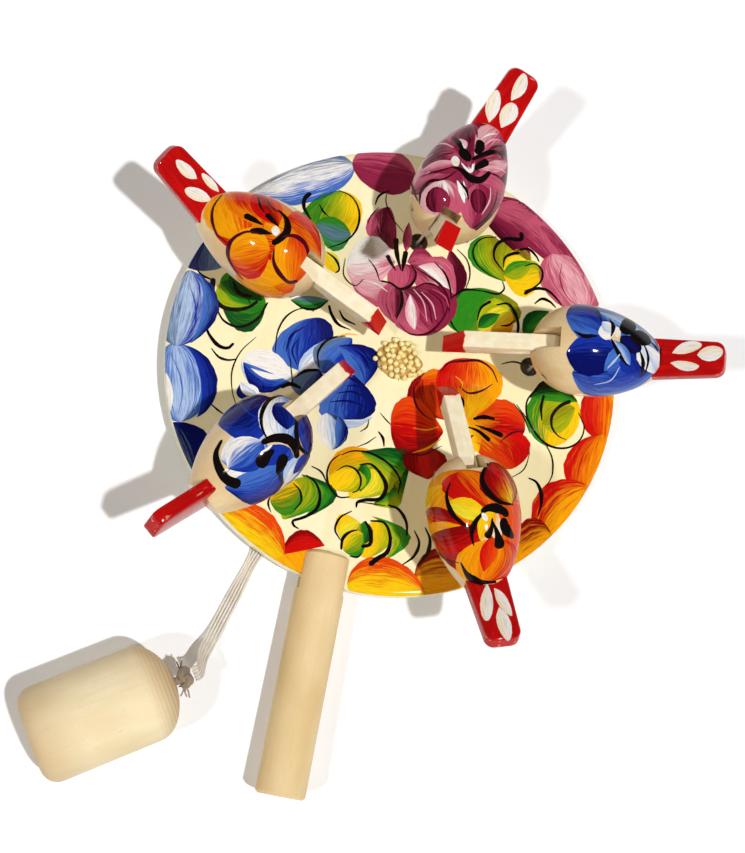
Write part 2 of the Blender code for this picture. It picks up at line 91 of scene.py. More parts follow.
def add(tree, kind, inputs=None, **settings):
    """A shader node with its settings. Each named input gets a value, or is joined to another node's output."""
    made = tree.nodes.new("ShaderNode" + kind)
    for name, value in settings.items():
        setattr(made, name, value)
    for name, value in (inputs or {}).items():
        if isinstance(value, bpy.types.NodeSocket):
            tree.links.new(value, made.inputs[name])
        else:
            made.inputs[name].default_value = value
    return made


def maths(tree, operation, *values):
    """The output of a maths node on one to three values, each a number or an output."""
    return add(tree, "Math", dict(enumerate(values)), operation=operation).outputs[0]


def coordinates(tree):
    """The piece's Object coordinates, in metres."""
    return add(tree, "TexCoord").outputs["Object"]


def carried(tree, name, output="Vector"):
    """What a piece's points carry under a name."""
    return add(tree, "Attribute", attribute_name=name).outputs[output]


def material(name, **values):
    """A material's node tree and its Principled shader, with plain values set on the shader's own sockets."""
    made = bpy.data.materials.new(name)
    made.use_nodes = True
    shader = made.node_tree.nodes["Principled BSDF"]
    for key, value in values.items():
        shader.inputs[key.replace("_", " ").title().replace("Ior", "IOR")].default_value = value
    return made, made.node_tree, shader


def mixed(tree, share, first, second, blend_type="MIX"):
    """The colour between two, each a hex code or an output, at a share that is a number or an output."""
    inputs = {0: share}
    for slot, value in ((6, first), (7, second)):
        inputs[slot] = linear(value) if isinstance(value, str) else value
    return add(tree, "Mix", inputs, data_type="RGBA", blend_type=blend_type).outputs[2]


def ramp(tree, value, low, high, first=0.0, second=1.0):
    """A value drawn out, so that low becomes the first number and high the second, and cut off beyond them."""
    limits = {0: value, 1: low, 2: high, 3: first, 4: second}
    return add(tree, "MapRange", limits).outputs[0]


def noise(tree, vector, scale, detail=3.0, roughness=0.5, stretch=(1, 1, 1)):
    """Noise on a vector, stretched: a small share on an axis draws the pattern out along it."""
    scaled = add(tree, "Mapping", {0: vector, 3: stretch}).outputs[0]
    inputs = {"Vector": scaled, "Scale": scale, "Detail": detail, "Roughness": roughness}
    return add(tree, "TexNoise", inputs).outputs[0]


def coat(tree, shader, colour, height, distance):
    """Joins a colour to the shader, and a height as a bump of that many metres."""
    tree.links.new(colour, shader.inputs["Base Color"])
    bump = add(tree, "Bump", {"Height": height, "Distance": distance, "Strength": 1.0})
    tree.links.new(bump.outputs[0], shader.inputs["Normal"])


def refinish(node, finish):
    """Gives a node of the CAD that is carried over a better material."""
    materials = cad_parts[node].data.materials
    materials.clear()
    materials.append(finish)


def from_board(tree, here):
    """The distance in metres from the middle of the board's underside."""
    middle = tuple(board_place[:3, 3] / 1000)
    return add(tree, "VectorMath", {0: here, 1: middle}, operation="DISTANCE").outputs["Value"]


board_paint, tree, shader = material(
    "board_paint", roughness=0.5, specular_ior_level=0.1, coat_weight=0.7, coat_roughness=0.14,
)
here = coordinates(tree)
fibre = noise(tree, here, 260, 4, stretch=(1, 0.08, 1))
cloud = noise(tree, here, 28, 2)
ground = mixed(tree, ramp(tree, cloud, 0.35, 0.7), "#fff8d2", "#fcf0bc")
ground = mixed(tree, ramp(tree, fibre, 0.55, 0.8, 0, 0.3), ground, "#ecd196")
# Painted shade: the walls of the cord holes and the underside inside the rim are painted dark brown, darker than their
# bare wood.
upright = add(tree, "SeparateXYZ", {0: add(tree, "NewGeometry").outputs["Normal"]}).outputs[2]
inside = ramp(tree, from_board(tree, here), 0.064, 0.066, 1, 0)
painted_shade_under_and_in_holes = maths(tree, "MULTIPLY", inside, ramp(tree, upright, 0.3, 0.5, 1, 0))
coat(tree, shader, mixed(tree, painted_shade_under_and_in_holes, ground, "#6e4c2c"), fibre, 0.00006)
refinish("board", board_paint)


# Painting on the board: petals, buds and leaves in the folk manner, each one dab of a flat brush that holds two or
# three colours side by side, then thin black lines. Paint and lines lie on the ground, layer over layer, all varnished.

PAINTS = {
    "white": "#f7f5f2", "cream": "#f8ead0", "ice": "#b2cbee", "sky": "#4470c8", "slate": "#60799f",
    "blue": "#1833a4", "navy": "#0a1264", "lemon": "#f2e234", "yellow": "#fbcc14", "amber": "#fba40c",
    "orange": "#f07c0a", "tangerine": "#e6440e", "red": "#cf100c", "crimson": "#8a080a", "lime": "#a6b214",
    "olive": "#8a8a12", "green": "#2f8a1e", "forest": "#0d4a1c", "blush": "#eeb2bc", "rose": "#c45674",
    "plum": "#8e2446", "wine": "#4e0a20", "black": "#120c0c",
}
PAINT_BELOW = 0.05
PAINT_LAYER = 0.012
PAINT_OFF_EDGE = 0.25
DAB_ROWS, DAB_COLUMNS, LINE_COLUMNS = 30, 24, 6
DAB_RAGGED = 0.012
LINE_GAP = 0.35


def run_along(path):
    """How far each point of a path is from its start, along it."""
    return np.concatenate([[0], np.cumsum(np.linalg.norm(np.diff(path, axis=0), axis=1))])


def smooth_path(route, gap):
    """Points about a gap apart on the smooth curve (centripetal Catmull-Rom) through a route's points, flat or not."""
    given = np.array(route, float)
    ends = np.vstack([2 * given[0] - given[1], given, 2 * given[-1] - given[-2]])
    pieces = []
    for p in zip(ends, ends[1:], ends[2:], ends[3:]):
        knot = np.cumsum([0] + [np.linalg.norm(p[i + 1] - p[i]) ** 0.5 for i in range(3)])
        t = np.linspace(knot[1], knot[2], 60, endpoint=False)[:, None]

        def between(first, second, i, j):
            return ((knot[j] - t) * first + (t - knot[i]) * second) / (knot[j] - knot[i])

        a = [between(p[i], p[i + 1], i, i + 1) for i in range(3)]
        b = [between(a[i], a[i + 1], i, i + 2) for i in range(2)]
        pieces.append(between(b[0], b[1], 1, 2))
    fine = np.vstack([*pieces, given[-1:]])
    run = run_along(fine)
    even = np.linspace(0, run[-1], max(8, round(run[-1] / gap) + 1))
    return np.stack([np.interp(even, run, fine[:, k]) for k in range(fine.shape[1])], -1)


def fall(distance, radius):
    """How far a quarter circle of that radius has fallen back at a distance along it from its start."""
    return radius - np.sqrt(radius**2 - np.clip(distance, 0, radius) ** 2)


def surface(name, grids, finish, around=False, capped=False, sharp=40):
    """A mesh over one or more grids of points: each four neighbours make a face, u along rows and v across them.

    around joins the last column to the first. capped closes both end rows with a fan. The UV map holds u and v.
    An edge between faces at more than sharp degrees stays sharp. The rest is smooth.
    """
    vertices, faces, flat_places, first = [], [], [], 0
    for grid in grids:
        rows, columns = grid.shape[:2]
        index = first + np.arange(rows * columns).reshape(rows, columns)
        u, v = np.meshgrid(np.linspace(0, 1, rows), np.linspace(0, 1, columns), indexing="ij")
        if around:
            index = np.hstack([index, index[:, :1]])
        quads = np.stack([index[:-1, :-1], index[1:, :-1], index[1:, 1:], index[:-1, 1:]], -1).reshape(-1, 4)
        vertices.append(grid.reshape(-1, 3))
        flat_places.append(np.stack([u, v], -1).reshape(-1, 2))
        faces += quads.tolist()
        first += rows * columns
        if capped:
            for ring, end in ((index[0], grid[0]), (index[-1][::-1], grid[-1])):
                vertices.append(end.mean(0, keepdims=True))
                flat_places.append([[0.5, 0.5]])
                faces += [[int(a), int(b), first] for a, b in zip(ring, ring[1:])]
                first += 1
    mesh = bpy.data.meshes.new(name)
    mesh.from_pydata(np.concatenate(vertices) / 1000, [], faces)
    corners = np.empty(len(mesh.loops), np.int32)
    mesh.loops.foreach_get("vertex_index", corners)
    uv = mesh.uv_layers.new(name="UVMap")
    uv.data.foreach_set("uv", np.concatenate(flat_places)[corners].astype(np.float32).ravel())
    if capped:
        loose = bmesh.new()
        loose.from_mesh(mesh)
        bmesh.ops.recalc_face_normals(loose, faces=loose.faces)
        loose.to_mesh(mesh)
        loose.free()
    mesh.shade_smooth()
    mesh.set_sharp_from_angle(angle=math.radians(sharp))
    mesh.materials.append(finish)
    made = bpy.data.objects.new(name, mesh)
    bpy.context.scene.collection.objects.link(made)
    return made


def dab(*shape):
    """A flat grid for one dab: two edges leave its base, swell out through a point on each side and meet at its tip.

    Along an edge the swelling is the sine of half a turn. The shape is the base, the tip, the left and the right
    point, then how blunt the base and the tip are: 1 is round and 0 is pointed.
    """
    base, tip, left, right = np.reshape(shape[:8], (4, 2))
    u = np.linspace(0.015, 0.985, DAB_ROWS)
    round_end = np.interp(u, (0, 1), shape[8:])
    way = (1 - round_end) * u + round_end * (1 - np.cos(np.pi * u)) / 2
    middle = (base + tip) / 2
    ragged = 1 + DAB_RAGGED * np.sin(31 * u + 9 * base.sum()) + DAB_RAGGED * np.sin(53 * u + 5 * tip.sum())
    swell = (np.sin(np.pi * u) * ragged)[:, None, None]
    v = np.linspace(0, 1, DAB_COLUMNS)[None, :, None]
    return base + (tip - base) * way[:, None, None] + swell * ((left - middle) * (1 - v) + (right - middle) * v)


def line(*shape):
    """A flat grid for a brushed line: a band along a smooth path, with half-round ends.

    The shape is its width at the start, in the middle and at the end, then the points that it goes through.
    """
    path = smooth_path(np.reshape(shape[3:], (-1, 2)), LINE_GAP)
    run = run_along(path)
    half = np.interp(run / run[-1], (0, 0.5, 1), shape[:3]) / 2
    start_end = np.clip(np.stack([run, run[-1] - run]) / np.maximum(half, 0.05), 0.02, 1)
    half = half * np.prod(np.sqrt(1 - (1 - start_end) ** 2), 0)
    ahead = np.gradient(path, axis=0)
    ahead /= np.linalg.norm(ahead, axis=1, keepdims=True)
    side = np.stack([-ahead[:, 1], ahead[:, 0]], -1)
    return path[:, None] + half[:, None, None] * side[:, None] * np.linspace(1, -1, LINE_COLUMNS)[None, :, None]


def painting(name, dabs, lines, lay, layer=PAINT_LAYER):
    """One mesh for all dabs and lines of a surface. Each lies a layer over those under it, where lay carries flat
    points at a height, and its colours go with it for the brush's streaks to follow."""
    flat = [dab(*corners) for _, *corners in dabs] + [line(*shape) for _, *shape in lines]
    names = [paints.split() for paints, *_ in dabs + lines]
    boxes = np.array([[grid.min((0, 1)), grid.max((0, 1))] for grid in flat])
    layers, grids, strokes = [], [], []
    for count, (grid, box, paints) in enumerate(zip(flat, boxes, names)):
        under = ((boxes[:count, 0] < box[1]) & (boxes[:count, 1] > box[0])).all(1)
        layers.append(max(1 + np.array(layers)[under], default=1))
        grids.append(lay(grid, PAINT_BELOW + layers[-1] * layer))
        colours = np.array([linear(PAINTS[paint]) for paint in paints])
        left, right = colours[0], colours[min(2, len(colours) - 1)]
        middle = colours[1] if len(colours) > 2 else (left + right) / 2
        base = colours[3] if len(colours) > 3 else middle
        rows, columns = grid.shape[:2]
        along = np.linalg.norm(np.diff(grid.mean(1), axis=0), axis=1).sum() * np.linspace(0, 1, rows)
        across = np.linalg.norm(grid[:, -1] - grid[:, 0], axis=1).max() * np.linspace(0, 1, columns)
        brush = np.stack([*np.meshgrid(along, across, indexing="ij"), np.full((rows, columns), 7.0 * count)], -1)
        bristles = [np.broadcast_to(part, (rows * columns, 4)) for part in (left, middle, right, base)]
        strokes.append([*bristles, brush.reshape(-1, 3)])
    made = surface(name, grids, brushed_paint, sharp=180)
    for key, parts in zip(("left", "middle", "right", "base", "brush"), zip(*strokes)):
        kind, field = ("FLOAT_VECTOR", "vector") if key == "brush" else ("FLOAT_COLOR", "color")
        stored = made.data.attributes.new(key, kind, "POINT")
        stored.data.foreach_set(field, np.concatenate(parts).astype(np.float32).ravel())
    return made


brushed_paint, tree, shader = material(
    "brushed_paint", roughness=0.5, specular_ior_level=0.0, coat_weight=0.7, coat_roughness=0.07, coat_ior=1.36,
)
brush = carried(tree, "brush")
streaks = noise(tree, brush, 1.5, 4, 0.6, stretch=(0.1, 1, 1))
u, v = add(tree, "SeparateXYZ", {0: add(tree, "UVMap", uv_map="UVMap").outputs[0]}).outputs[:2]
strayed = maths(tree, "MULTIPLY_ADD", streaks, 1.3, -0.65)
across = maths(tree, "ADD", v, strayed)
along = maths(tree, "ADD", u, strayed)
left, middle, right, base = (carried(tree, name, "Color") for name in ("left", "middle", "right", "base"))
middle = mixed(tree, ramp(tree, along, 0.2, 0.5), base, middle)
paint = mixed(tree, ramp(tree, across, 0.15, 0.5), left, middle)
paint = mixed(tree, ramp(tree, across, 0.5, 0.85), paint, right)
fine = noise(tree, brush, 4.5, 3, 0.6, stretch=(0.06, 1, 1))
paint = mixed(tree, ramp(tree, fine, 0.52, 0.75, 0, 0.6), paint, "#fff4e4", blend_type="SOFT_LIGHT")
paint = mixed(tree, ramp(tree, fine, 0.25, 0.48, 0.5, 0), paint, "#60504a", blend_type="MULTIPLY")
coat(tree, shader, paint, streaks, 0.00018)

# For each flower its dabs, with the paints from left to right and the one at the base, and then its lines. Distances
# are from the board's middle.
PAINTED_BOARD = {
    "plum flower": ([
        ("rose wine plum", -10.8, 35.9, -16.4, 48.8, -21, 39.5, -12.3, 43.6, 0.3, 0.9),
        ("plum rose", -7, 36.5, -8.8, 46.3, -9.2, 40.6, -6.3, 40.9, 0, 0.3),
        ("white white blush rose", -9.1, 32.4, -23.2, 26, -18.9, 37.8, -15.4, 21.3, 0.2, 0.9),
        ("blush blush rose plum", -6.7, 24, -20.7, 21.8, -15, 25.5, -11.6, 16.2, 0.1, 0.6),
        ("rose wine wine", -7.1, 27.6, -3.9, 13.1, -11.4, 18.9, -1.9, 21.9, 0.3, 0.2),
        ("plum wine wine", 5.9, 42.2, 12, 26.4, 6.8, 34.2, 13.4, 35.5, 0.1, 0),
        ("plum rose plum", -5.8, 33.5, 3.6, 36.2, -3.3, 39.6, -1.1, 33.1, 0, 0),
        ("rose blush rose plum", -5, 33.1, 12.2, 25.5, 6.3, 38.5, 2.2, 24.7, 0, 0.2),
        ("blush white", -2.2, 33.4, 9.7, 28.7, 4.4, 35.8, 3.7, 31.4, 0, 0.1),
        ("rose plum plum wine", -5, 24.9, 9, 14.6, -3.9, 13.1, 11.1, 28.5, 0.4, 1),
        ("blush white rose", -2.1, 23.9, 2.5, 13.3, -1.8, 17.2, 2.1, 19.6, 0, 0.4),
        ("rose plum wine", -7.2, 25.8, -4.4, 15, -8.7, 19.6, -3.4, 21.4, 0.5, 0.3),
        ("rose rose plum", -7.1, 32.4, -5.2, 24.5, -10.4, 26.8, -1.7, 30.5, 0.9, 1),
    ], [
        ("black", 0.5, 1.01, 0.3, -12.1, 24.8, -9, 25.2, -5.5, 24.4, -2.6, 26.8, -2.1, 30.7, -4.4, 33),
        ("black", 1.6, 1.43, 0.3, -11.2, 39.9, -10.3, 36.7, -8.8, 33.5, -6.8, 30.1),
        ("black", 1.43, 1.09, 0.3, -12.4, 33.6, -10.5, 31.5, -8.3, 29.6),
        ("black", 1.6, 1.51, 0.3, -7.1, 36.9, -6.8, 33.5, -6.4, 29.9),
        ("wine", 0.2, 0.9, 0.4, -4.4, 33, 0.6, 31.7, 6.1, 29.8, 9.6, 26.6, 11.1, 22.4),
        ("black", 0.3, 0.76, 0.3, 2.3, 36.4, 6.6, 33.8, 9.3, 30, 10.7, 26.3),
        ("wine", 0.2, 0.9, 0.3, -3.1, 13.7, 1.4, 11.6, 6.7, 13.7, 10, 20.3, 10.3, 25.2),
        ("wine", 0.2, 0.8, 0.3, -1.6, 25.5, 1.2, 28.5, 5, 29.1, 8.8, 27),
        ("blush", 0.2, 0.5, 0.2, 1, 25.7, 5.3, 23.1, 7.9, 18.6),
        ("blush", 0.2, 0.4, 0.2, -1.6, 25.8, 2.5, 22.8, 5.4, 17),
        ("wine", 0.2, 0.5, 0.2, -0.4, 25.9, 4.1, 22.7, 7.1, 16.9),
        ("wine", 0.2, 0.5, 0.2, 2.6, 26.9, 7.5, 24.9, 10, 20.6),
        ("rose", 0.2, 0.5, 0.2, 4, 27.8, 8.6, 26.6, 10.8, 23.6),
        ("white", 0.2, 0.5, 0.2, -17.5, 23.2, -13.1, 23.5, -8.8, 22.2),
        ("black", 0.76, 1.01, 0.3, -5, 23.9, -3.7, 20.3, -4, 14.5),
        ("black", 0.2, 0.45, 0.2, -18, 54.1, -17.7, 50.7, -14.7, 46.2, -9.3, 42.3),
        ("black", 0.3, 0.76, 0.2, -20.5, 48, -20.1, 51.3, -17.1, 54.5),
        ("black", 0.2, 0.45, 0.2, -21, 40.8, -20.7, 44.1, -19.1, 47.8),
        ("black", 0.2, 0.5, 0.2, -17.7, 30.4, -14.8, 28.3, -12.1, 24.5),
        ("wine", 0.2, 0.45, 0.2, -24.5, 28.3, -23.2, 22.6, -19.1, 20.7, -17.1, 23.8),
        ("black", 0.2, 0.5, 0.2, 8, 42.9, 12, 40.5, 14.2, 36.1, 14.1, 30.6),
    ]),
    "blue flower": ([
        ("white ice white", -28, -11.7, -21.7, 1.3, -28.8, -4.1, -21.5, -6.9, 0.1, 0.8),
        ("sky blue navy", -27.1, -10.7, -28.7, 6.5, -37.4, -6, -20.8, 2.6, 0.1, 1),
        ("ice white ice", -27.8, -11.3, -21.3, 1.8, -27.4, -4.3, -21.7, -7.6, 0.1, 0.7),
        ("slate sky blue", -20.9, -9, -15.3, 4.5, -25.1, -1.5, -15.3, -4.4, 0.3, 0.6),
        ("sky blue navy", -18.7, 0.7, -8, -9.5, -12.3, -5.7, -6.3, 2.3, 0.6, 0.3),
        ("ice white white", -17.6, -19, -2.3, -17.1, -9.2, -23, -11.1, -15.2, 0.2, 0.2),
        ("sky blue navy", -11.8, -6.2, -9.7, -19.9, -18.8, -19.4, -2.3, -13.8, 0.1, 0.9),
        ("slate navy", -22.1, -8.1, -25.2, -18, -29, -13.7, -19.3, -13.4, 0.3, 0.3),
        ("white white ice", -28.7, -12.6, -45.1, -13.6, -38.5, -7.4, -36.4, -20.4, 0.1, 0.8),
        ("navy blue sky", -29.3, -14.8, -44.6, -13.4, -37.6, -20.8, -36.9, -13.8, 0.1, 0.3),
        ("white", -30.9, -13.7, -42, -14.5, -36.2, -16.1, -36.7, -14.3, 0, 0),
        ("navy blue", -39.6, -24.4, -43.4, -20.2, -43.3, -23.7, -40, -22, 0.2, 0.1),
        ("white ice white", -37.2, -22, -43.6, -19.6, -41.4, -22.7, -38.6, -19.5, 0.2, 0.2),
        ("white ice navy", -16, -20.4, -11.3, -30.8, -17.3, -26.3, -8.4, -23.4, 0.6, 0.7),
        ("sky navy", -12.5, -20.2, -10, -29.7, -12.2, -24.6, -8.7, -23.5, 0.3, 0.3),
    ], [
        ("black", 0.76, 1.34, 0.76, -31.4, -17.4, -29.2, -15.4, -25.6, -15.5),
        ("black", 0.3, 1.09, 0.76, -28.5, -13.2, -26, -10.1, -22.1, -8.4),
        ("black", 0.3, 0.84, 0.3, -22.2, -7.8, -23.9, -3.4, -22.8, 0.6, -20.1, 3.2, -17.2, 4.5),
        ("black", 0.2, 0.4, 0.2, -28.1, -15.7, -30.1, -11.1, -31.6, -7.4),
        ("black", 0.2, 0.4, 0.2, -37, -17.7, -35.7, -20.8),
        ("black", 0.2, 0.6, 0.2, -36.2, -7.9, -37.4, -0.8, -36.2, 4.6, -33, 8.1, -30, 8.8, -28.7, 8.6),
        ("black", 0.76, 1.09, 0.2, -25, 12.2, -23.7, 10, -20.6, 7.3, -16.3, 6.8),
        ("black", 0.4, 0.84, 0.3, -21.6, 11.7, -19.3, 9.5, -15.3, 8.9),
        ("amber", 0.2, 0.4, 0.2, -19.8, 3.3, -17.1, 5.2, -13.8, 6),
        ("navy", 0.4, 1.2, 0.4, -13.3, -7.7, -10.4, -8, -7.6, -8.7),
        ("navy", 0.2, 0.6, 0.2, -13.1, -10.6, -9.9, -9.5, -6.6, -10),
        ("navy", 0.2, 0.7, 0.2, -14.8, -13.5, -10.3, -11.6, -4.9, -12.4),
        ("navy", 0.2, 0.8, 0.2, -16.3, -16.9, -10.9, -14.8, -3.6, -14.9),
        ("navy", 0.2, 0.8, 0.2, -14.8, 2.7, -11.3, 1.9, -8.3, -0.7),
        ("navy", 0.3, 1, 0.3, -13.8, 1.4, -10.4, -0.1, -7.5, -3.4),
        ("navy", 0.2, 0.5, 0.2, -28.8, -9.1, -31.6, -5.1, -30.7, -0.8),
        ("navy", 0.2, 0.8, 0.2, -33.2, -6.3, -33.2, -1, -29.8, 3.5),
        ("black", 0.2, 0.5, 0.2, -3.3, -18.1, -3.2, -20.7, -4.8, -22.8),
        ("black", 0.2, 0.45, 0.2, -0.6, -15.2, 1.8, -16.7, 4.4, -18.1),
        ("black", 0.3, 0.92, 0.3, 0.4, -20.8, 2.4, -22.4, 3.5, -24.9),
        ("black", 0.2, 0.4, 0.2, 0.3, -22.7, -1.8, -25.4, -4.3, -27.5),
    ]),
    "red flower": ([
        ("crimson tangerine crimson", 19.1, -11, 11.1, 2.6, 6.3, -8, 17.5, -1.6, 0.4, 0.9),
        ("orange tangerine", 8.5, -1, 16, 2.5, 11.2, 3.3, 12.6, -0.6, 0.2, 0.2),
        ("tangerine red crimson", 19.8, -14.6, 3.7, -17.7, 7.1, -7.4, 12.4, -25.9, 0.2, 0.9),
        ("crimson red crimson", 14.6, -21.3, 19.1, -30.4, 10.4, -27.8, 23, -22.7, 0.8, 0.1),
        ("tangerine red crimson amber", 26.6, -11.1, 43.7, -5.4, 33.8, 0.9, 37.3, -13.4, 0.1, 0.9),
        ("red red tangerine amber", 26.6, -11.1, 43.6, -18.6, 44.3, -7.8, 33.8, -18.5, 0.1, 0.8),
        ("red tangerine amber yellow", 26, -9, 21.4, 10.1, 13.1, 0.2, 33.4, 5.8, 0.2, 0.9),
        ("yellow amber", 23.8, -8.1, 31.8, -17.2, 26.6, -15.7, 29.6, -9.1, 0.1, 0.3),
    ], [
        ("black", 1.26, 1.68, 0.76, 21.3, -2.3, 22.6, -3.8, 23.4, -5.6),
        ("black", 0.76, 1.43, 0.92, 27.3, -7.9, 30.5, -6.2, 33.9, -5.7),
        ("black", 0.2, 1.18, 1.68, 28.4, -9.5, 33, -9.6, 37.7, -10),
        ("black", 0.2, 1.01, 1.43, 25.5, -10.8, 29.8, -11, 34.2, -12.8),
        ("black", 0.3, 0.6, 0.3, 27.2, -14.5, 29, -12.6),
        ("wine", 0.3, 0.8, 0.2, 20.4, 0.7, 23.7, -0.5, 27.4, 1.4, 30.4, 4.8),
        ("wine", 0.2, 0.7, 0.2, 37.3, -12.1, 40.2, -8.2, 43.9, -6.3),
        ("wine", 0.3, 0.9, 0.3, 13.6, 3.1, 15.5, 6.7, 19.5, 8.7, 24.3, 10.4, 28.6, 9.2, 31.8, 5.6),
        ("wine", 0.2, 0.7, 0.2, 8.4, -0.4, 7.4, -5, 9.3, -9.3, 12.9, -11.7, 15.9, -12.3),
        ("amber", 0.2, 0.5, 0.2, 10.4, -16.5, 14.6, -15.7, 17.9, -13.6),
        ("amber", 0.2, 0.8, 0.3, 12.2, -24, 16.4, -21, 19.5, -17),
        ("wine", 0.2, 0.7, 0.2, 10.5, -24.9, 15.3, -23.6, 20.4, -19),
        ("amber", 0.2, 0.4, 0.1, 18.4, 3.4, 21.1, 1.9, 21.4, -0.6),
        ("tangerine", 0.2, 0.5, 0.1, 36.3, -16.7, 32.5, -15, 29.5, -14.4),
        ("tangerine", 0.1, 0.5, 0.1, 39.5, -11.7, 41.5, -14.4, 42.7, -16.6),
        ("black", 0.3, 0.59, 0.2, 31.2, 11.7, 34.9, 13.7, 40.2, 13.8),
        ("black", 0.2, 0.5, 0.2, 38, 1, 42.1, -2, 45.7, -6.7),
        ("black", 0.2, 0.4, 0.2, 47.1, -12.2, 46.7, -17.9, 43.5, -21.9),
        ("black", 0.2, 0.4, 0.2, 0, -0.6, 2.2, -3.8),
    ]),
    "buds": ([
        ("green lime yellow", -34.1, 28.9, -31.3, 48.9, -41, 37.8, -23.4, 41, 0.9, 0.9),
        ("green slate green", -36.5, 35.6, -25, 36.3, -31.5, 39.8, -28.7, 29.2, 0.5, 0.5),
        ("green green forest", -58, 5.7, -43.5, 6.7, -54.3, 13, -47.6, -4.6, 0.8, 0.9),
        ("lime green forest", -58.2, 8.3, -47.8, 4.2, -56.8, 1.8, -51.9, 9.5, 0.5, 0.4),
        ("forest forest", -56.5, 10.9, -44.7, 6.6, -53.1, 6.1, -49.5, 12, 0.3, 0.2),
        ("green lime olive", 25.5, 37.7, 15.9, 50.6, 12.5, 41.1, 24, 46.9, 0.3, 0.9),
        ("olive lime olive", 24.4, 40.4, 24.4, 52.6, 18.5, 46, 31.2, 47.7, 0.6, 0.9),
        ("yellow lemon yellow", 23.8, 41.3, 31.2, 48.7, 25.5, 48.8, 30.2, 43.8, 0.2, 0.7),
        ("yellow yellow lime", 24.3, 39.7, 35.7, 44.4, 32.5, 35, 30.3, 47, 0.3, 0.9),
        ("green lime", 24.3, 39.7, 32.4, 46.7, 26.2, 44.9, 29.8, 40.2, 0.2, 0.1),
        ("green green olive", 16.2, 17, 20.6, 33.6, 9.7, 25, 32.9, 27.6, 0.9, 0.9),
        ("lime lemon amber", 21.6, 18.9, 30.2, 28.7, 21.8, 30.2, 30.2, 20.2, 0.7, 0.7),
        ("forest green", 21.2, 20.5, 26.7, 27.1, 21.6, 25, 24.9, 22.4, 0.2, 0.1),
        ("forest green", 41.4, 33.2, 35.3, 23.3, 34.9, 30, 39.8, 26.5, 0.1, 0.3),
        ("green yellow yellow", 52.4, -8.8, 50.6, 10.6, 42.6, -0.1, 59.6, 2.9, 0.9, 0.9),
        ("lime olive lime", 48.5, -2.5, 57.2, 5.8, 48.6, 5.9, 54.9, -3, 0.4, 0.4),
        ("black forest green", 42.7, 4.2, 57.7, 7.9, 47.8, 12.7, 50.9, 5.7, 0.3, 0),
        ("amber lime green", -9.5, -39.1, 4.9, -28.7, -7.7, -28.9, -0.7, -40.1, 0.7, 0.5),
        ("lime green forest", -3.1, -28.7, 4.9, -43, 12.6, -39, 12, -24.7, 0.2, 0.2),
        ("yellow lemon lime", -1.9, -43.3, 1.9, -32.5, -2.7, -38.5, 9.4, -36.5, 0.2, 0.9),
        ("forest green", 0.4, -40.4, -1, -31.5, -2.2, -36.1, 2.3, -35, 0.1, 0.3),
        ("yellow yellow lime", -7, -42.1, -3, -34.1, -9.9, -38.6, 1.1, -38.5, 0.9, 0.9),
        ("green green forest", -18.1, -40.7, -13.6, -53.4, -12.7, -46.2, -6.1, -43.1, 0.2, 0.2),
        ("lime lime green", -19.2, -55.5, -16.7, -41.2, -22.2, -47.7, -9.1, -45.7, 0.3, 0.5),
        ("yellow olive green", -24.5, -51.3, -16.8, -45, -22.4, -44, -17.7, -53.4, 0.8, 0.7),
        ("lime green green", 5.6, -46.3, 12.7, -58.2, 13.4, -50.7, 18.5, -48.5, 0.2, 0.2),
        ("yellow yellow lime", 8.2, -58.7, 7.3, -47, 3.5, -55.5, 13.6, -50.3, 0.6, 0.8),
        ("green forest", 4.7, -56.3, 4.2, -48.3, 2.4, -52.7, 7.7, -51.6, 0.3, 0.3),
        ("yellow lemon olive", -1.6, -55.2, 3, -49.3, -3.7, -49, 3.7, -55.1, 0.8, 0.4),
        ("yellow lime green", 0.4, -58.6, 4.8, -52.2, 0.3, -53, 5.9, -58.4, 0.8, 0.3),
        ("slate green forest", -36.7, 9.8, -25.4, 13.7, -31.9, 12.8, -29.7, 8.6, 0.1, 0.1),
        ("yellow lemon", -31, 28.3, -25.2, 22.9, -29.7, 23.7, -26.7, 27.8, 0, 0.3),
    ], [
        ("black", 1.51, 1.18, 0.5, -40.5, 44.9, -41.8, 42.7, -41.3, 39.8, -38, 36.5),
        ("black", 0.3, 0.76, 0.3, -32.8, 48.7, -28.1, 48, -24.7, 44.4, -23.7, 38.8, -25.8, 33.6, -30.4, 29.6),
        ("black", 0.3, 0.67, 0.2, -37.1, 42.3, -35.3, 40.5, -33, 39.3),
        ("black", 1.68, 1.34, 0.84, -60.9, 8.7, -59.3, 3.6, -56, 1.1, -51.6, 1.3, -47.9, 3.5, -45.9, 6.2),
        ("black", 0.4, 1.01, 0.5, -57.2, 0, -53.7, -3.1, -48.9, -3.4, -44.5, 0.7, -42.9, 6.9),
        ("black", 0.5, 1.34, 0.76, -54.9, 9.8, -52.1, 6.8, -48, 6.9),
        ("black", 0.3, 0.59, 0.2, 19.2, 51.1, 14.5, 48.7, 13, 44.3, 15, 40.6, 19.2, 38.6, 24.5, 37.7),
        ("black", 0.3, 0.76, 0.3, 24.5, 37.7, 25.8, 35.4, 24.4, 33.2, 20.8, 32.6, 17.6, 32.2),
        ("black", 1.51, 1.01, 0.3, 26.1, 55.3, 26.7, 53.1, 22.1, 51.4, 19.6, 48.1, 20.1, 44.1, 24.3, 40.7),
        ("black", 0.3, 0.84, 1.26, 23.7, 41.9, 23.4, 45.3, 25.2, 47.3, 27.3, 48.4),
        ("black", 0.76, 0.84, 0.4, 27, 49.3, 29.7, 50.6, 32.7, 49.3, 34.2, 47.7),
        ("black", 0.3, 0.76, 0.2, 29.9, 44.8, 33.1, 46.6, 35.9, 45.2, 36.4, 41.9, 34.5, 38.8, 32, 36.9),
        ("black", 1.18, 0.92, 0.4, 32.3, 35.9, 34.9, 38.6, 38.7, 39.6, 42.4, 38.1, 44.9, 36.2),
        ("black", 0.3, 1.01, 0.3, 36.2, 33.8, 38.2, 36.3, 40.9, 36.2, 43.3, 34.9),
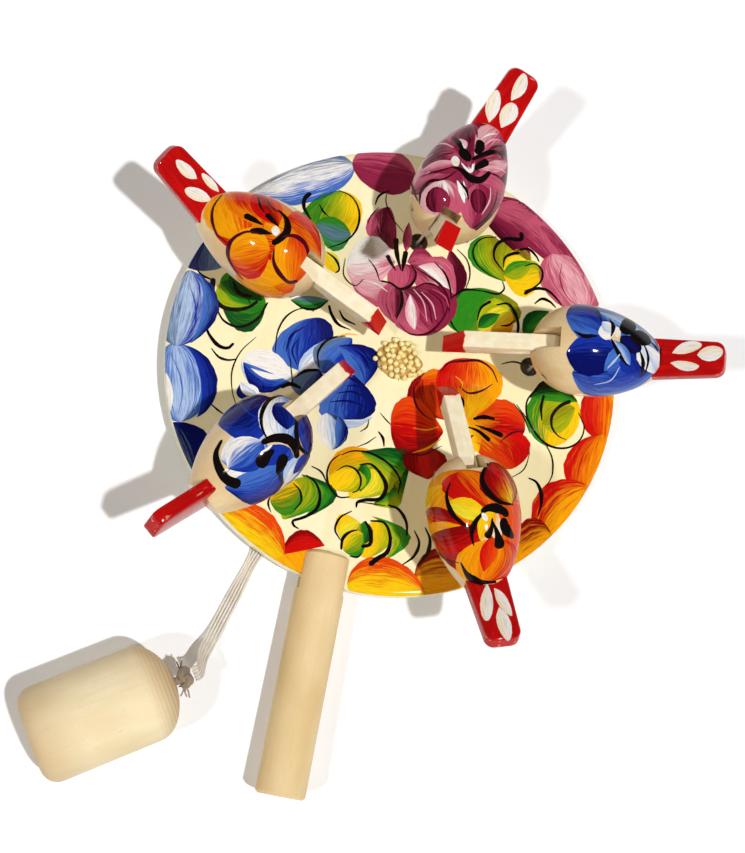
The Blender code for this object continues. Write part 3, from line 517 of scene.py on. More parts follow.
        ("black", 0.3, 0.76, 0.3, 10.6, 26.6, 11.4, 21.5, 13.5, 18.5, 16.3, 16.7),
        ("black", 0.3, 0.92, 0.3, 10.5, 26.9, 13.7, 30.8, 19.2, 32.4),
        ("black", 1.01, 0.76, 0.3, 22.8, 30.2, 20.4, 27, 20.3, 22.5),
        ("black", 0.4, 1.09, 0.76, 24.7, 29.5, 28.2, 31.1, 31.1, 29, 33.1, 25.6, 33.7, 22),
        ("black", 0.3, 0.76, 0.3, 27.7, 23.4, 30.3, 24.6, 31.7, 26.8),
        ("black", 0.5, 0.76, 0.3, 43.8, 7.6, 42.1, 3, 43.3, -1.6, 46.6, -5.4, 50.9, -8, 54.9, -8.3, 58.8, -6.7, 61.3,
            -3.5, 61.5, 0.8, 58.5, 4.8),
        ("black", 0.76, 1.01, 0.3, 46.7, 6.6, 46.9, 2.3, 48.2, -1.6),
        ("black", 1.18, 0.92, 0.2, 55.4, 7.5, 52.5, 4.8, 50.9, 1, 51.7, -2.4, 54.3, -4.5, 57.3, -4.9),
        ("black", 0.3, 0.6, 0.2, 50.9, -8, 54.2, -11.8, 55.6, -16.9, 54.9, -20.7),
        ("black", 0.2, 0.5, 0.2, 39, 1, 43.5, -2.5, 47.9, -6.6, 52.1, -8.9),
        ("black", 0.4, 1.34, 0.3, 48.6, -20.2, 51.3, -20.6, 53.7, -23.4, 54.6, -27, 54.6, -30.6),
        ("black", 0.3, 0.84, 0.3, -8.3, -31.4, -5.4, -29.2, -1.3, -28.1, 3.3, -28.5, 7.9, -30.3, 11, -33.4, 11.5,
            -37.4),
        ("black", 0.4, 1.34, 1.01, -2.2, -32.6, 0.9, -31.3, 4.5, -33, 7.5, -36.5, 6.7, -40.5, 2.8, -42.1, 0.3, -43.6),
        ("black", 0.76, 0.76, 0.3, 0.3, -43.3, 0.6, -45.4),
        ("black", 0.2, 0.76, 0.3, -8.3, -36.5, -5.9, -34.1, -2.7, -34.3, -0.4, -36.8, -0.4, -40, -1.9, -41.4),
        ("black", 0.3, 0.67, 0.4, -8.6, -31.2, -10.7, -34.7, -10.5, -38.8, -8.6, -42, -5.3, -43.8, -2.1, -42.8),
        ("black", 0.4, 1.09, 0.76, -16.6, -40.5, -13.4, -41.7, -10.9, -45, -10.6, -49, -12.8, -52.2, -16.6, -55),
        ("black", 0.76, 0.67, 0.3, -16.6, -55, -15.6, -56.2, -13.9, -56.6),
        ("black", 0.3, 0.76, 0.3, -19.6, -44, -16.9, -45.7, -15.7, -48.7, -17, -51.7),
        ("black", 0.3, 0.6, 0.2, -24.8, -49.5, -24.9, -52, -23.2, -54.6),
        ("black", 0.3, 0.6, 0.2, -15.9, -37.4, -12.5, -38.2, -9.8, -41.1),
        ("black", 0.3, 0.76, 0.3, -0.3, -46.6, -3.2, -49.7, -3.6, -53.6, -1, -56.2),
        ("black", 0.6, 1.09, 0.3, -0.2, -58.8, -0.6, -55.2, 0.9, -52.8, 3, -51.5),
        ("black", 0.6, 1.26, 1.01, 4.2, -48.3, 6.5, -50.7, 7.6, -54.5, 5.3, -56.1),
        ("black", 0.5, 1.09, 1.6, 5.7, -47.8, 9.9, -47.1, 12.8, -50.6, 13.2, -55.2, 10.9, -58.1, 9.1, -60.6),
        ("black", 0.3, 0.67, 0.3, 2.6, -59.8, 5, -59.4, 6.1, -57.8),
        ("black", 0.5, 1.01, 0.5, 9.3, -41.6, 12.8, -41.8, 16.2, -44.8, 17.6, -48.8),
        ("black", 0.3, 1.01, 0.3, 19.2, -46.4, 21.7, -49.7, 21.3, -53.9, 18.6, -57.6),
        ("black", 0.3, 1.26, 0.3, 22.1, -44.5, 24.6, -47.8, 24.9, -52.1, 23, -56.5),
        ("black", 0.1, 0.4, 0.2, 0.6, -43.5, 4.8, -42.7, 9, -42),
        ("black", 0.3, 0.76, 0.3, -36.1, 9.7, -32.3, 8.7, -28.4, 9.7, -25.6, 13.3),
        ("black", 0.3, 0.84, 0.4, -30.4, 28.2, -27, 26.7, -25.2, 23.9, -26.1, 22.6),
        ("black", 0.5, 1.26, 0.76, -58.7, -6.2, -56.3, -8.9, -52.8, -11, -50.1, -10.7, -48.9, -8.7),
        ("black", 0.3, 0.84, 0.4, -54.9, -12.4, -51.8, -14.3, -49, -14.3, -46.5, -13.1),
        ("black", 0.2, 0.5, 0.2, -43.1, -4.7, -46.1, -10.4, -46.9, -16.8, -45.1, -22.7, -42.5, -27),
        ("black", 0.3, 0.6, 0.2, -50.5, -28.4, -47.3, -29.9, -44.2, -30.8),
        ("black", 0.3, 0.76, 0.3, -66.2, 9.5, -63.9, 8.3, -60.7, 8.1),
    ]),
    "rim petals": ([
        ("slate white sky", -58.4, 37.7, -30.3, 58, -48.6, 55.5, -39.4, 42.2, 0.5, 0.9),
        ("rose plum plum", -31.1, 58.5, -10.8, 61.7, -22.9, 67.8, -18.2, 52.6, 0.9, 0.8),
        ("plum rose plum", 12.6, 61.7, 34.3, 56.1, 23.4, 55.4, 25.2, 64.9, 0.6, 0.6),
        ("plum rose rose", 13, 57.6, 41.5, 46.8, 26.9, 52.4, 30.1, 64.5, 0.6, 0.6),
        ("wine plum", 13.2, 57, 31.4, 46.7, 19.1, 51.4, 25.2, 55, 0.5, 0.5),
        ("rose plum rose", 31.4, 59.3, 49.9, 45.6, 39.3, 50.2, 42.7, 57.7, 0.6, 0.6),
        ("rose blush rose", 37.5, 51.7, 52.6, 35.4, 37.1, 40.4, 55.5, 50.3, 0.6, 0.6),
        ("red tangerine amber", 63.4, 16.6, 68.5, -1.8, 59.1, 5, 72.1, 8.7, 0.8, 0.7),
        ("red orange amber", 67.5, 0.5, 66.3, -20.3, 58.3, -11.1, 73.4, -9.5, 0.7, 0.6),
        ("red amber amber", 69.4, -17, 57.5, -38.9, 53.4, -22.2, 69.8, -31.5, 0.7, 0.7),
        ("crimson amber amber", 60.8, -35.6, 48.3, -50.4, 50.8, -33.4, 59.1, -45.1, 0.6, 0.7),
        ("crimson amber amber", 23.1, -60.2, 37.9, -54.3, 27.6, -49.4, 33.3, -65.1, 0.8, 0.8),
        ("tangerine yellow yellow", 4.4, -68.2, 28, -64.3, 12.7, -56.9, 17.6, -71.8, 0.8, 0.8),
        ("yellow amber amber", -18.2, -63.9, -8.4, -70.7, -20.5, -72.6, -7.1, -61.6, 0.6, 0.6),
        ("crimson red red", -16.8, -65.6, -5.1, -59.1, -13.5, -56.8, -11.2, -62.6, 0.5, 0.3),
        ("yellow yellow tangerine", -40.3, -57.9, -15.8, -65.6, -32.2, -68.3, -24.9, -54.2, 0.4, 0.5),
        ("red red crimson", -47.7, -49.1, -39.4, -58.9, -48.1, -56.7, -38.8, -50.9, 0.6, 0.5),
        ("slate navy navy", -59, -37.6, -48.5, -49.3, -58.7, -46.4, -47, -38.7, 0.6, 0.4),
        ("sky ice sky", -65.8, -14.5, -56.8, -36.9, -68.1, -28.5, -52, -21.8, 0.9, 0.9),
        ("white white", -65.3, -23.7, -60.5, -36.8, -64.8, -31.3, -61.3, -29.5, 0.1, 0.1),
        ("blue navy", -62.8, -14.1, -52.7, -34.2, -55.2, -22.2, -50.5, -20.6, 0.6, 0.7),
        ("slate ice blue", -68.2, 8.8, -64.9, -15.2, -73.8, -5.1, -56.8, -0.2, 0.5, 0.9),
        ("sky navy", -65.7, 9, -61.2, -13.2, -61.1, -0.7, -56.3, 0, 0.1, 0.2),
        ("navy slate", -65.9, 20.7, -63.8, 10, -70.1, 10.8, -58.5, 15.2, 0.1, 0.3),
    ], [
        ("ice", 0.1, 0.35, 0.1, -68.9, 5.2, -65.3, -0.2, -63.2, -6.7, -63.5, -12.7),
        ("ice", 0.1, 0.35, 0.1, -61.8, -15.4, -57.3, -19.7, -54.1, -25.7, -54, -32.1),
        ("sky", 0.1, 0.5, 0.1, -66.1, -17.5, -61, -23.6, -58.6, -29.2, -58.1, -34.8),
        ("blue", 0.1, 0.5, 0.1, -67.1, 4.5, -63.5, -0.9, -61.7, -6.8, -62.7, -12.4),
        ("plum", 0.1, 0.5, 0.1, 41.3, 50.2, 42.2, 44.2, 46.1, 39.4, 49.9, 37.9),
    ]),
}


def on_board(flat, height):
    """Flat points on the board's top, and round its rim where they reach it."""
    out = np.hypot(flat[..., 0], flat[..., 1])
    kept = np.minimum(out, BOARD_RADIUS - PAINT_OFF_EDGE)
    z = BOARD_THICKNESS - fall(kept - BOARD_RADIUS + RIM_ROUND, RIM_ROUND) + height
    return placed(np.concatenate([flat * (kept / out)[..., None], z[..., None]], -1), board_place)


for flower, (dabs, lines) in PAINTED_BOARD.items():
    picture = painting(f"board_{flower.replace(' ', '_')}", dabs, lines, on_board)
    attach(picture, "board_and_hens")


# Hens' places: each leg is a pale dowel glued into the board, and each hen was set by hand, so that its bearing,
# its distance, its turn and the lean to its side all differ a little.

LOWERED = -20
RAISED = 64
HENS = {
    "hen1": dict(bearing=17.0, distance=54.8, turned=-6.7, leans=0.0, neck=LOWERED, tail_turned=-1, flat=True),
    "hen2": dict(bearing=92.1, distance=53.2, turned=-12.0, leans=5.5, neck=RAISED, tail_turned=-2, flat=True),
    "hen3": dict(bearing=160.6, distance=52.6, turned=6.4, leans=-5.0, neck=LOWERED, tail_turned=-11, flat=True),
    "hen4": dict(bearing=232.0, distance=56.8, turned=9.2, leans=0.0, neck=LOWERED, tail_turned=-8, flat=False),
    "hen5": dict(bearing=305.8, distance=53.6, turned=-12.2, leans=0.0, neck=LOWERED, tail_turned=0, flat=True),
}
for hen in HENS.values():
    bearing = math.radians(hen["bearing"])
    foot = shift(hen["distance"] * math.cos(bearing), hen["distance"] * math.sin(bearing), BOARD_THICKNESS)
    hen["place"] = board_place @ foot @ turn(hen["bearing"] + hen["turned"], "Z") @ turn(hen["leans"], "X")


def bare_wood(name, pale, dark, roughness=0.55, speckle=0.3, upright=False, **values):
    """Sanded wood: fibres along the piece's own X, or upright ones, slow drifts of tone, and short dark pores."""
    made, tree, shader = material(name, roughness=roughness, specular_ior_level=0.35, **values)
    if upright:
        in_mm = {0: coordinates(tree), 2: (0, math.pi / 2, 0), 3: (1000, 1000, 1000)}
        own = add(tree, "Mapping", in_mm).outputs[0]
    else:
        own = carried(tree, "own")
    fibre = noise(tree, own, 0.9, 5, 0.6, stretch=(0.05, 1, 1))
    drift = noise(tree, own, 0.08, 2, stretch=(0.5, 1, 1))
    pores = noise(tree, own, 3.2, 2, stretch=(0.22, 1, 1))
    tone = mixed(tree, ramp(tree, drift, 0.3, 0.7), pale, dark)
    tone = mixed(tree, ramp(tree, fibre, 0.45, 0.8, 0, 0.5), tone, dark)
    tone = mixed(tree, ramp(tree, pores, 0.62, 0.78, 0, speckle), tone, "#9c7444")
    coat(tree, shader, tone, fibre, 0.00008)
    return made


leg_wood = bare_wood("leg_wood", "#e6cb9c", "#cfa873", upright=True)
for name in HENS:
    refinish(f"{name}_leg", leg_wood)


# Hens' bodies: each is turned to an egg with a flat end for the tail, then a kerf is sawn down its nose for the neck
# and a nail hole bored through both cheeks. The cheeks, the belly and the kerf stay bare under the varnish.

BODY_LENGTH = 38.0
BODY_DIAMETER = 26.8
BODY_END_DIAMETER = 11.0
BODY_HEIGHT = 25.0
BODY_WIDEST = -3.0
NOSE = -BODY_LENGTH / 2
PIN_ALONG = NOSE + 4.8
PIN_DIAMETER = 1.8
PIN_ROOM = 0.15
KERF_WIDTH = 6.0
KERF_DEPTH = 10.0
KERF_SLANT = 0.4


def body_radius(along):
    """The egg's radius in mm at a distance along it from its middle: a blunt nose, and a back that tapers."""
    widest = BODY_DIAMETER / 2
    share = np.clip((BODY_WIDEST - along) / (BODY_WIDEST - NOSE), 0, 1)
    front = widest * np.sqrt(np.clip(1 - share**2.3, 0, 1))
    end = (BODY_END_DIAMETER / BODY_DIAMETER) ** 1.25
    reach = (BODY_LENGTH / 2 - BODY_WIDEST) / math.sqrt(1 - end)
    back = widest * np.clip(1 - ((along - BODY_WIDEST) / reach) ** 2, 0, 1) ** 0.8
    return np.where(along < BODY_WIDEST, front, back)


def turned(profile, sides=96):
    """A grid for a turned shape: the profile's (distance along X, radius) pairs, each carried round the X axis."""
    along, radius = np.asarray(profile, float).T
    angle = np.linspace(0, 2 * np.pi, sides, endpoint=False)
    return np.stack([
        np.repeat(along[:, None], sides, 1),
        radius[:, None] * np.cos(angle),
        radius[:, None] * np.sin(angle),
    ], -1)


def block(outline, axis, ends):
    """A grid for a block: a flat outline's corners as a ring at both ends of an axis (0 to 2), to be capped."""
    return np.stack([np.insert(np.array(outline, float), axis, end, axis=1) for end in ends])


def cut_away(piece, grid, place):
    """Cuts the closed shape over a grid out of a piece, and keeps the result as the piece's mesh."""
    tool = surface("tool", [placed(grid, place)], piece.data.materials[0], around=True, capped=True)
    step = piece.modifiers.new("cut", "BOOLEAN")
    step.operation = "DIFFERENCE"
    step.solver = "EXACT"
    step.object = tool
    result = bpy.data.meshes.new_from_object(piece.evaluated_get(bpy.context.evaluated_depsgraph_get()))
    piece.modifiers.clear()
    piece.data = result
    bpy.data.objects.remove(tool)
    result.shade_smooth()
    result.set_sharp_from_angle(angle=math.radians(40))


def own_coordinates(piece, place):
    """Stores each point's coordinates in the piece's own frame, in millimetres, for its material to follow."""
    points = np.empty(len(piece.data.vertices) * 3, np.float32)
    piece.data.vertices.foreach_get("co", points)
    own = placed(points.reshape(-1, 3) * 1000.0, np.linalg.inv(place))
    stored = piece.data.attributes.new("own", "FLOAT_VECTOR", "POINT")
    stored.data.foreach_set("vector", own.astype(np.float32).ravel())


body_wood = bare_wood("body_wood", "#f4ddae", "#e0bc84", roughness=0.45, coat_weight=0.5)
front = BODY_WIDEST - (BODY_WIDEST - NOSE) * np.sin(np.linspace(math.pi / 2, 0, 30))
along = np.concatenate([front, np.linspace(BODY_WIDEST, BODY_LENGTH / 2, 40)[1:]])
body_profile = np.stack([along, np.maximum(body_radius(along), 0.05)], -1)
kerf_back = NOSE + KERF_DEPTH
# Below the nail the kerf's back is upright, and above it the back leans towards the nose by the slant.
outline = [(-30, -20), (kerf_back, -20), (kerf_back, 0), (kerf_back - 20 * KERF_SLANT, 20), (-30, 20)]
kerf = block(outline, 1, (-KERF_WIDTH / 2, KERF_WIDTH / 2))
bore = turned([(-20, PIN_DIAMETER / 2 + PIN_ROOM), (20, PIN_DIAMETER / 2 + PIN_ROOM)], 24)
for name, hen in HENS.items():
    middle = hen["place"] @ shift(z=BODY_HEIGHT)
    body = surface(f"{name}_egg", [placed(turned(body_profile), middle)], body_wood, around=True, capped=True)
    cut_away(body, kerf, middle)
    cut_away(body, bore, middle @ shift(PIN_ALONG) @ turn(90, "Z"))
    own_coordinates(body, middle)
    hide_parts(f"{name}_body")
    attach(body, "board_and_hens")


# Painting on the hens' backs: the same dabs and lines, in the colours of the flower beside each hen. Points are
# distances along the egg from its middle and round it from the top line.

PAINTED_BACKS = {
    "hen1": ([
        ("slate sky blue", -11.9, 6.2, 13.6, 9.8, -0.9, 16.2, -0.6, 4.5, 0.6, 0.2),
        ("sky blue sky", -8.6, -10.8, 18.9, -2.8, 1.8, -4.2, 5.6, -21.7, 0.4, 0.1),
        ("slate ice sky", -2.4, 10.2, 18.9, -0.1, 11.5, 11.1, 7.1, 0.4, 0.2, 0.2),
        ("sky blue navy", -2.2, 2.6, -11.9, 7.1, -7.6, -1, -4.7, 16.7, 0.9, 0.9),
        ("blue navy navy", 3.2, -2.8, -11.4, -5, -4.9, 1.2, -3.2, -11.3, 0.9, 0.6),
        ("sky blue", 0.5, -9.3, 8, -1.8, 1.6, -2.5, 8.9, -10.3, 0.4, 0.3),
        ("blue navy", 6.6, -1.5, 12.8, -8.7, 5.1, -7.2, 14.7, -2.4, 0.2, 0.3),
        ("white ice white", 11, 1.7, 18.9, -5.6, 10.6, -4.1, 18.9, -0.2, 0.3, 0.5),
        ("white white", -3.1, 1.8, 1.8, 2.7, -0.9, 5.2, -0.3, 0.1, 0.5, 0.5),
        ("ice white", -1.8, 5.8, 0.9, 2.5, -1.6, 3, 1, 5.7, 0.2, 0.2),
        ("white cream", 1.5, 2.6, 4.1, 3.9, 2.5, 4.9, 3.1, 1.4, 0.3, 0.6),
        ("black black", 3.5, 4.4, 9.7, 7.5, 7.7, 11.2, 6.8, 3.2, 0.7, 0.8),
        ("black black", 7.1, 3.6, 14.8, 3, 12.1, 6.3, 10.3, 0.9, 0.4, 0.8),
        ("black navy black", 4.1, 2.2, 10.8, -1.1, 9.5, 2.3, 5.3, -1.8, 0.5, 0.7),
        ("ice sky", 1.9, 0.5, 8.1, -5.6, 3.7, -3.6, 6.6, -1.5, 0.1, 0.1),
    ], [
        ("black", 0.3, 1.5, 0.3, 0.6, 7.6, 1.6, 5.1, 0.9, 1.2),
        ("black", 0.3, 1.4, 0.3, -10, 1.6, -7.4, 0.3, -3.1, 0.8),
        ("navy", 0.3, 1, 0.3, -8.3, -10.7, -3.4, -10.7, 1.6, -8.8),
        ("black", 0.5, 1.4, 0.3, 0.9, 0.6, 3.2, -2.5, 5.5, -4.7, 7.5, -6),
        ("black", 0.3, 1.5, 0.3, 10.4, -0.6, 12.3, -3.6, 12.9, -7.9),
        ("black", 0.3, 1, 0.3, 11.7, 1.9, 13.9, -2, 14, -6.6),
        ("navy", 0.3, 1, 0.5, 14.4, 3.2, 16.3, 2.2, 17.6, 1),
        ("black", 0.4, 1.3, 0.4, 18.9, 5.1, 18.9, 0.7, 18.9, -1.2, 18.9, -3.8),
        ("black", 0.2, 0.9, 0.2, -3.8, 16.7, -2.6, 10.8, -1.8, 6.2),
        ("ice", 0.3, 0.7, 0.3, 4.2, -3.2, 2.5, -5.9, 1.1, -8),
        ("ice", 0.2, 0.5, 0.2, -1.2, -14, 3.1, -11.6, 4.9, -6.6),
    ]),
    "hen2": ([
        ("rose plum wine", -13.4, -11, 18.3, 2.9, 0.7, 20.3, 8.4, -14.1, 0.3, 0.9),
        ("blush rose plum plum", 0.7, 4.5, -10.9, 18.3, -0.5, 16.5, -9.5, 4.1, 0.3, 0.7),
        ("plum wine plum rose", 2.1, 5.4, -3.2, 17.6, 8.3, 17.3, -4.6, 6.9, 0.3, 0.7),
        ("plum wine plum", 1.9, 3.4, 15, 6.9, 7.7, 11.1, 11.1, 1.8, 0.2, 0.8),
        ("blush rose wine", 3.6, 1.8, 18.2, -2.5, 15.7, 3.7, 15.3, -8.9, 0.2, 0.7),
        ("plum blush rose", 1.5, 0.3, 11, -10.2, 9.2, -3.1, 1.5, -6.9, 0.2, 0.8),
        ("blush rose", -5.1, 17.3, -0.1, 5.4, -1.1, 11.8, -4, 9.6, 0.1, 0.1),
        ("rose plum", -3.6, -0.7, 2.5, -17.1, 3.1, -5, -8, -10.5, 0.3, 0.4),
        ("rose plum plum", -13.7, -8.6, -3.1, -2.6, -11.4, -1.4, -4.7, -10.9, 0.2, 0.9),
        ("wine plum wine", -9.7, -7.3, -4.7, -2.8, -8.7, -2.9, -5.3, -7.5, 0.9, 0.9),
        ("blush rose rose white", -6.7, 7.2, -15.2, 0.5, -13.9, 10.8, -9, -1.3, 0.8, 0.9),
        ("wine plum plum", -9.2, 7.8, -15.3, 3.7, -13.3, 8.9, -11.4, 2.2, 0.9, 0.9),
        ("white cream", -0.2, 7.7, 0.7, 5.2, 1.8, 7.2, -1.6, 5.4, 0.6, 0.6),
        ("white blush", 8.5, 8.5, 5.4, 5.1, 5.9, 6.9, 8.1, 5.7, 0.2, 0.2),
        ("black black", 5.3, 6.3, 1.5, 2.9, 2.6, 6.2, 4.1, 3, 0.8, 0.7),
    ], [
        # The first two white lines are a painted highlight: the sun's glint on the varnished back, laid on as white
        # paint.
        ("white", 0.4, 1.7, 0.5, -5.5, 3.3, -7.6, 0.9, -10.1, -1.6),
        ("white", 0.2, 0.8, 0.3, -4.7, 1.7, -6.8, 0, -8.5, -1.6),
        ("white", 0.2, 0.7, 0.2, 10.9, 2.1, 14.2, 0.7, 17, -1.9),
        ("blush", 0.2, 0.7, 0.2, 9.3, 0.6, 13.2, -1, 15.6, -3.6),
        ("black", 0.6, 1.8, 1, 9.1, 11.1, 6.8, 7.9, 4.4, 5.7),
        ("black", 0.6, 2.4, 1.2, -2, 6.5, -1.9, 3.7, -2.9, 0.3, -1.7, -2.6, 2.6, -4.4),
        ("black", 2.4, 3, 1.5, 10.7, 2.4, 8.2, 1.6, 5.2, 1.8),
        ("black", 1, 1.6, 0.6, 2.7, 2.1, 5.9, 0.1, 10.3, -3.9, 10.4, -6.9),
        ("black", 0.4, 2, 2.4, -1, 0.9, 2, -0.5, 5.3, -2.3),
        ("white", 0.3, 1, 0.3, 0.2, 4.6, -0.9, 2.5, -1, 0.9, 1.6, 1.4),
        ("black", 0.3, 1.5, 0.3, -14.3, 10.5, -10.9, 12.2, -8.2, 10.8, -6.9, 7.7),
        ("wine", 0.2, 0.7, 0.2, -5.5, 22.9, -10.8, 16.1, -13.7, 11.5),
        ("black", 0.3, 0.9, 0.4, -0.1, -9.8, -3.9, -11.6, -8.5, -11.3, -13.5, -9),
        ("blush", 0.2, 0.8, 0.3, -1.1, -6.5, -4.5, -8.6, -9.4, -8.7),
        ("white", 0.2, 0.5, 0.2, 0, 2.3, -0.6, 0.7, 2.1, 1.2),
        ("black", 0.3, 0.9, 0.3, -5.5, 2.6, -6.7, -0.2, -8.8, -2.2),
        ("blush", 0.2, 0.6, 0.2, -4.7, 17.6, -0.8, 18.6, 1.7, 15),
        ("wine", 0.3, 0.8, 0.2, -1.7, 5.7, -4.2, 9.1, -7.2, 15.6),
        ("wine", 0.3, 0.7, 0.2, -2.7, 4.6, -6.3, 6.7, -8.8, 11.2),
        ("wine", 0.3, 0.8, 0.2, 2.7, 8, 1.3, 10.8, -1.1, 15.1),
        ("blush", 0.2, 0.8, 0.3, 5.1, 19.5, 5.9, 13.5, 4.5, 8.7),
        ("wine", 0.2, 0.7, 0.2, 8.6, 4.6, 11, 6.3, 13.6, 7.9),
        ("wine", 0.2, 0.6, 0.2, 11, 3.4, 13.4, 4.1, 15.5, 5.3),
        ("wine", 0.2, 0.8, 0.2, 8.8, -1, 12.1, -2.9, 14.5, -5.4),
        ("wine", 0.2, 0.8, 0.2, 1.9, -3.9, 3.3, -7.3, 3.9, -11.1),
        ("blush", 0.2, 0.7, 0.2, 4.2, -4.4, 6.1, -7.3, 7, -10.5),
    ]),
    "hen3": ([
        ("orange amber red", 12.8, 6.9, -17.6, -3.1, 9.8, -13.6, -3.4, 8.1, 0.6, 0.5),
        ("amber amber orange", 1.5, 17.7, -14.1, 9.8, -2.8, 7.1, -7.6, 23.5, 0.5, 0.5),
        ("tangerine amber amber", 4.6, 5.4, 16.3, -5.7, 6.5, -3.1, 16.8, 4.9, 0.7, 0.7),
        ("orange red tangerine amber", 1, -0.2, 13.2, -8.5, 13.6, -1.5, 5.5, -8.4, 0.1, 0.7),
        ("red crimson tangerine", -2.3, -3.4, 8.1, -13.6, 7.1, -4.3, 1.4, -12.4, 0.2, 0.7),
        ("tangerine red orange", -2.7, -5.3, -16.8, -3.6, -7.2, -17, -8.9, -1.8, 0.3, 0.3),
        ("amber orange red orange", -3.7, 4, 5.8, 12.3, 5.1, 1.7, -3.1, 15.1, 0.8, 0.9),
        ("amber orange tangerine red", -6.6, -3.4, -13.6, 8.6, -5.6, 6.7, -14.2, -1.5, 0.9, 0.9),
        ("orange tangerine", -9.5, 12.9, -14.4, 7.6, -11.9, 9.3, -13.8, 12.6, 0.3, 0.3),
        ("cream white", -1, -1.1, -3.5, -2, -1.6, -2.9, -2.9, -0.2, 0.3, 0.3),
    ], [
        ("black", 2, 1.6, 0.4, 7.7, -1.3, 5.2, -1.3, 1.6, -1.2),
        ("black", 1.9, 1.4, 0.3, 2.6, -4.8, 0.6, -4.1, -2.5, -3.1),
        ("black", 1.5, 2, 0.3, 3.9, 2.1, 1.7, 0.9, -1.9, -0.2),
        ("black", 0.6, 2.2, 1.6, 0.4, -8.4, -2.9, -6.8, -5, -3.4, -4.5, -0.2, -3.3, 2.2),
        ("wine", 0.3, 1.3, 0.3, 0.5, 1.2, 4.7, 2.8, 7.1, 6.7, 6.2, 11.3, 2.9, 15, -1.2, 17.7),
        ("wine", 0.3, 1.5, 0.8, -4.4, 2.9, -6.3, 6.3, -9.4, 8.2, -12.6, 8.7, -14.6, 6.6),
        ("wine", 0.5, 1.5, 0.9, -4.7, -1, -7.4, -3.2, -10.7, -3.3, -13.8, -1.1),
        ("wine", 0.2, 0.9, 0.2, 16.6, -4.9, 16.6, 0.5, 14.2, 4.8, 11, 7.4, 7.7, 8.1),
        ("black", 0.3, 0.8, 0.3, 7.4, -10.2, 5.3, -6.4, 3.2, -4.8),
        ("wine", 0.3, 0.7, 0.3, 5.1, -11, 2.5, -8.2, -0.3, -7.5),
        ("wine", 0.2, 0.6, 0.2, -9.8, -12, -12, -10.9, -14, -8.8),
    ]),
    "hen4": ([
        ("white ice sky", -2.9, -0.2, 9.7, -3.7, 1.2, -6.2, 4.9, 8.2, 0.5, 0.9),
        ("navy navy blue", -13.2, -7.3, 2.5, -14.5, -7.3, -18.6, 0.4, -0.6, 0.1, 0.3),
        ("white cream", 1.7, 6.7, 12.1, 0.1, 5.6, 1.8, 9.5, 6.6, 0.2, 0.5),
        ("blue blue sky", -6.3, 7.3, 4.2, 7.3, -1.5, 3, -2.4, 14.7, 0.4, 0.4),
        ("sky blue navy", -2.7, 10.3, 14.1, 2.4, 5.7, 4.3, 6.9, 19.9, 0.2, 0.2),
        ("white sky blue", -1.6, 0.5, 10.1, -0.5, 4, -5.4, 3.9, 5.3, 0.4, 0.4),
        ("white ice sky", -5.6, 5.2, -16.1, -6.3, -5.5, -5.1, -17.8, 4.3, 0.9, 0.9),
        ("navy blue", -9, 2.9, -12.6, -5, -8.9, -2.6, -17.8, 1.6, 0.3, 0.5),
        ("blue navy navy", -11.4, 15.4, -18.4, 1.9, -11, 5.6, -17.6, 6.5, 0.9, 0.9),
        ("ice white sky", 0.3, 17, -9.5, 13.7, -2.7, 10.3, -5.1, 21.2, 0.5, 0.3),
        ("blue navy", -3, 15.5, -10.6, 13.5, -6.5, 12.2, -9.8, 19, 0.2, 0.4),
    ], [
        ("black", 0.4, 1.5, 0.4, -18.4, -2.3, -17.7, -5.2, -12.2, -7.1, -7.3, -5.4, -4.3, -2.4, -2.9, 1),
        ("black", 0.5, 1.5, 0.6, -18.4, 2.5, -18.4, 1.6, -14.2, 2.4, -10.7, 5, -8.9, 8.9, -10.5, 13.9, -13.7, 14.8),
        ("black", 0.8, 2.1, 2.8, 5.5, -8, 9.1, -6.3, 11.3, -3, 12.2, 1.1, 10.5, 5.1),
        ("black", 1.4, 3, 1.6, -1, 0.7, -4.8, 2.3, -7.5, 5.4, -7.4, 8.7, -6.4, 11.6),
        ("black", 0.8, 3.4, 4.2, -2.4, 4.5, 0.4, 4.2, 3.9, 4.9),
        ("black", 3.4, 3.4, 1.6, -3.9, 7.4, -1.6, 9.1, 0.9, 10.8),
        ("black", 0.6, 1.2, 0.6, 0.5, 10.7, 0.8, 15.5),
        ("white", 0.4, 0.8, 0.4, 0.5, 2.6, -1.1, 3, -2.9, 3.1),
        ("blue", 0.2, 0.6, 0.2, -6, -14.5, -4.9, -7.8, -5.8, -3.8),
    ]),
    "hen5": ([
        ("amber orange tangerine", -13.8, -7.2, 18.9, -0.3, -1.3, -24, 2.1, 16.8, 0.7, 0.6),
        ("yellow amber orange", -2, -24.1, -9.7, -8.9, -8.9, -22.3, -2.6, -8.3, 0.4, 0.4),
        ("crimson red orange", -3.8, -24.1, 5, -4, -3.4, -12.8, 5.8, -12.2, 0.2, 0.2),
        ("amber amber orange", 0.2, -24, 6.5, -3, 0.8, -11.4, 10.4, -9.2, 0.2, 0.1),
        ("crimson red crimson", 3.2, -23.4, 3, -0.4, 2.5, -12.4, 15.1, -5.6, 0.3, 0.3),
        ("red red orange", -1.6, 0.7, -12.7, -5.4, -7.7, -11.3, -9.3, 1.5, 0.3, 0.8),
        ("yellow lemon", -4.6, -10.2, 2, 0.8, -4.3, -3.5, 0.6, -6.4, 0.3, 0.1),
        ("crimson red crimson yellow", -1.9, 8.7, -15, 4.8, -6.5, -0.6, -10.1, 15.1, 0.4, 0.6),
        ("yellow amber cream", 7.1, -2.5, -0.6, 3, 0.6, -1.9, 7.6, 3.4, 0.4, 0.5),
        ("amber orange red", 7, 1.6, 18.4, -2, 11.8, -10.1, 13.4, 12.4, 0.6, 0.9),
        ("red tangerine", 6.4, 1, 15.7, -1.6, 10.3, -2.6, 10.8, 2.3, 0.2, 0.2),
    ], [
